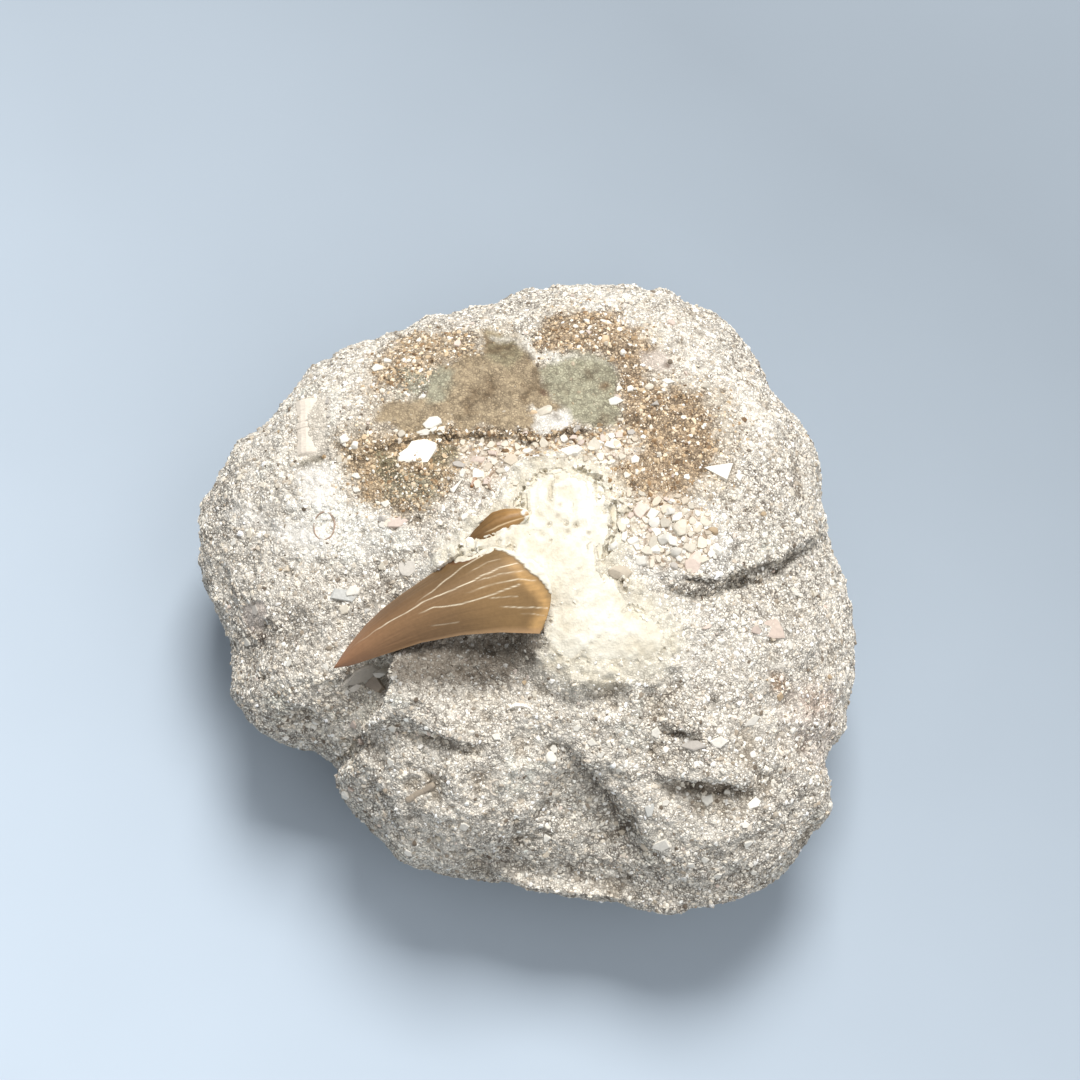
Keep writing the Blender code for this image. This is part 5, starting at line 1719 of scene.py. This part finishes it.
def enamel_material():
    m = Nodes("enamel")
    at = m.place()
    share, across = m.attribute("share", "Fac"), m.attribute("across", "Fac")
    chalk = m.attribute("chalk", "Fac")
    way = m.add("ShaderNodeCombineXYZ", {"X": m.sums("MULTIPLY", share, 5.0),
                                         "Y": m.sums("MULTIPLY", across, 30.0)}).outputs[0]
    streak = m.add("ShaderNodeTexNoise", {"Vector": way, "Scale": 1.0, "Detail": 3.0,
                                          "Roughness": 0.6}).outputs["Fac"]
    fine = m.noise(at, 0.5, 3.0, 0.6)
    tone = m.sums("MULTIPLY", m.spread(streak, 0.3, 0.7, 0.96, 1.04), m.spread(fine, 0.3, 0.7, 0.94, 1.06))
    m.link("Base Color", m.times(m.attribute("tint"), tone))
    smooth = m.spread(fine, 0.3, 0.7, 0.34, 0.46)
    m.link("Roughness", m.sums("ADD", smooth, m.sums("MULTIPLY", chalk, 0.5)))
    grain = m.sums("MULTIPLY", m.sums("MULTIPLY", fine, chalk), 4.0)
    m.bump(m.sums("ADD", m.sums("ADD", m.sums("MULTIPLY", streak, 0.5), m.sums("MULTIPLY", fine, 0.3)), grain),
           0.25, 0.08)
    m.set(Coat_Weight=0.10, Coat_Roughness=0.30, Specular_IOR_Level=0.42)
    return m.material


def root_material():
    m = Nodes("tooth root")
    at = m.place()
    fine = m.noise(at, 0.6, 4.0, 0.65)
    grain = m.cells(at, 0.35)
    tone = m.sums("ADD", m.spread(fine, 0.3, 0.7, 0.92, 1.05), m.spread(grain, 0.0, 0.7, 0.03, -0.08))
    m.link("Base Color", m.times(m.attribute("tint"), tone))
    m.link("Roughness", m.spread(fine, 0.3, 0.7, 0.78, 0.95))
    m.bump(m.sums("ADD", fine, m.sums("MULTIPLY", grain, -0.5)), 0.6, 0.16)
    m.set(Specular_IOR_Level=0.3)
    return m.material


def floor_material():
    m = Nodes("floor")
    at = m.place()
    fine = m.noise(at, 40.0, 2.0, 0.5)
    # Painted light: the floor made lighter towards the near left and darker towards the far right
    across = m.add("ShaderNodeVectorMath", {0: at, 1: (-0.6, -0.8, 0.0)},
                   operation="DOT_PRODUCT").outputs["Value"]
    tone = m.sums("MULTIPLY", m.spread(across, -0.10, 0.10, *FLOOR_PAINTED_LIGHT), m.spread(fine, 0.3, 0.7, 0.985, 1.015))
    colour = m.add("ShaderNodeRGB")
    colour.outputs[0].default_value = (*linear(FLOOR_COLOUR), 1.0)
    m.link("Base Color", m.times(colour.outputs[0], tone))
    m.set(Roughness=0.9, Specular_IOR_Level=0.2)
    return m.material


# ---------------------------------------------------------------- stage
def set_stage():
    half = FLOOR_SIDE / MM / 2
    floor = make_mesh("floor", [(-half, -half, 0), (half, -half, 0), (half, half, 0), (-half, half, 0)],
                      [(0, 1, 2, 3)])
    floor.data.materials.append(floor_material())
    target = Vector(CAMERA["looks at"]) * MM
    fall = math.radians(CAMERA["elevation"])
    forward = Vector((0, math.cos(fall), -math.sin(fall)))
    data = bpy.data.cameras.new("camera")
    data.lens, data.sensor_width = CAMERA["lens"], CAMERA["sensor"]
    camera = bpy.data.objects.new("camera", data)
    camera.location = target - forward * CAMERA["distance"] * MM
    camera.rotation_euler = forward.to_track_quat("-Z", "Y").to_euler()
    bpy.context.scene.collection.objects.link(camera)
    bpy.context.scene.camera = camera
    for light in LIGHTS:
        a, e = math.radians(light["azimuth"]), math.radians(light["elevation"])
        way = Vector((math.cos(a) * math.cos(e), math.sin(a) * math.cos(e), math.sin(e)))
        data = bpy.data.lights.new(light["name"], "AREA")
        data.size, data.energy, data.color = light["size"], light["watts"], light["colour"]
        lamp = bpy.data.objects.new(light["name"], data)
        lamp.location = way * light["distance"]
        lamp.rotation_euler = way.to_track_quat("Z", "Y").to_euler()
        bpy.context.scene.collection.objects.link(lamp)
    world = bpy.data.worlds.new("studio")
    world.use_nodes = True
    sky = world.node_tree.nodes["Background"]
    sky.inputs["Color"].default_value = (*WORLD["colour"], 1.0)
    sky.inputs["Strength"].default_value = WORLD["strength"]
    bpy.context.scene.world = world
    bpy.context.scene.view_settings.view_transform = "Standard"


MATERIALS = {
    "limestone": limestone_material(),
    "grains": grains_material(),
    "bits": bits_material(),
    "enamel": enamel_material(),
    "root": root_material(),
}


def main():
    crown = blade("tooth_crown", CROWN, CROWN_GRID, crown_marks)
    cusp = blade("tooth_side_cusp", SIDE_CUSP, CUSP_GRID, cusp_marks)
    root = make_root([crown, cusp])
    skin = make_skin([crown, cusp, root])
    skin.data.materials.append(MATERIALS["limestone"])
    triangles = triangles_of(skin)
    weight = grain_weight(triangles.mean(axis=1))
    grains = [make_grains(layer, triangles, weight) for layer in GRAIN_LAYERS]
    bits = make_bits(tree_of(skin), triangles, weight)
    for item in (crown, cusp, root):
        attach(item, "root")
        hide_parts("tooth")
    for item in (skin, bits, *grains):
        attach(item, "root")
        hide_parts("rock")
    set_stage()
    total = 0
    for item in (crown, cusp, root, skin, bits, *grains):
        item.data.calc_loop_triangles()
        total += len(item.data.loop_triangles)
        print("PIECE", item.name, len(item.data.loop_triangles))
    print("TOTAL", total)


main()
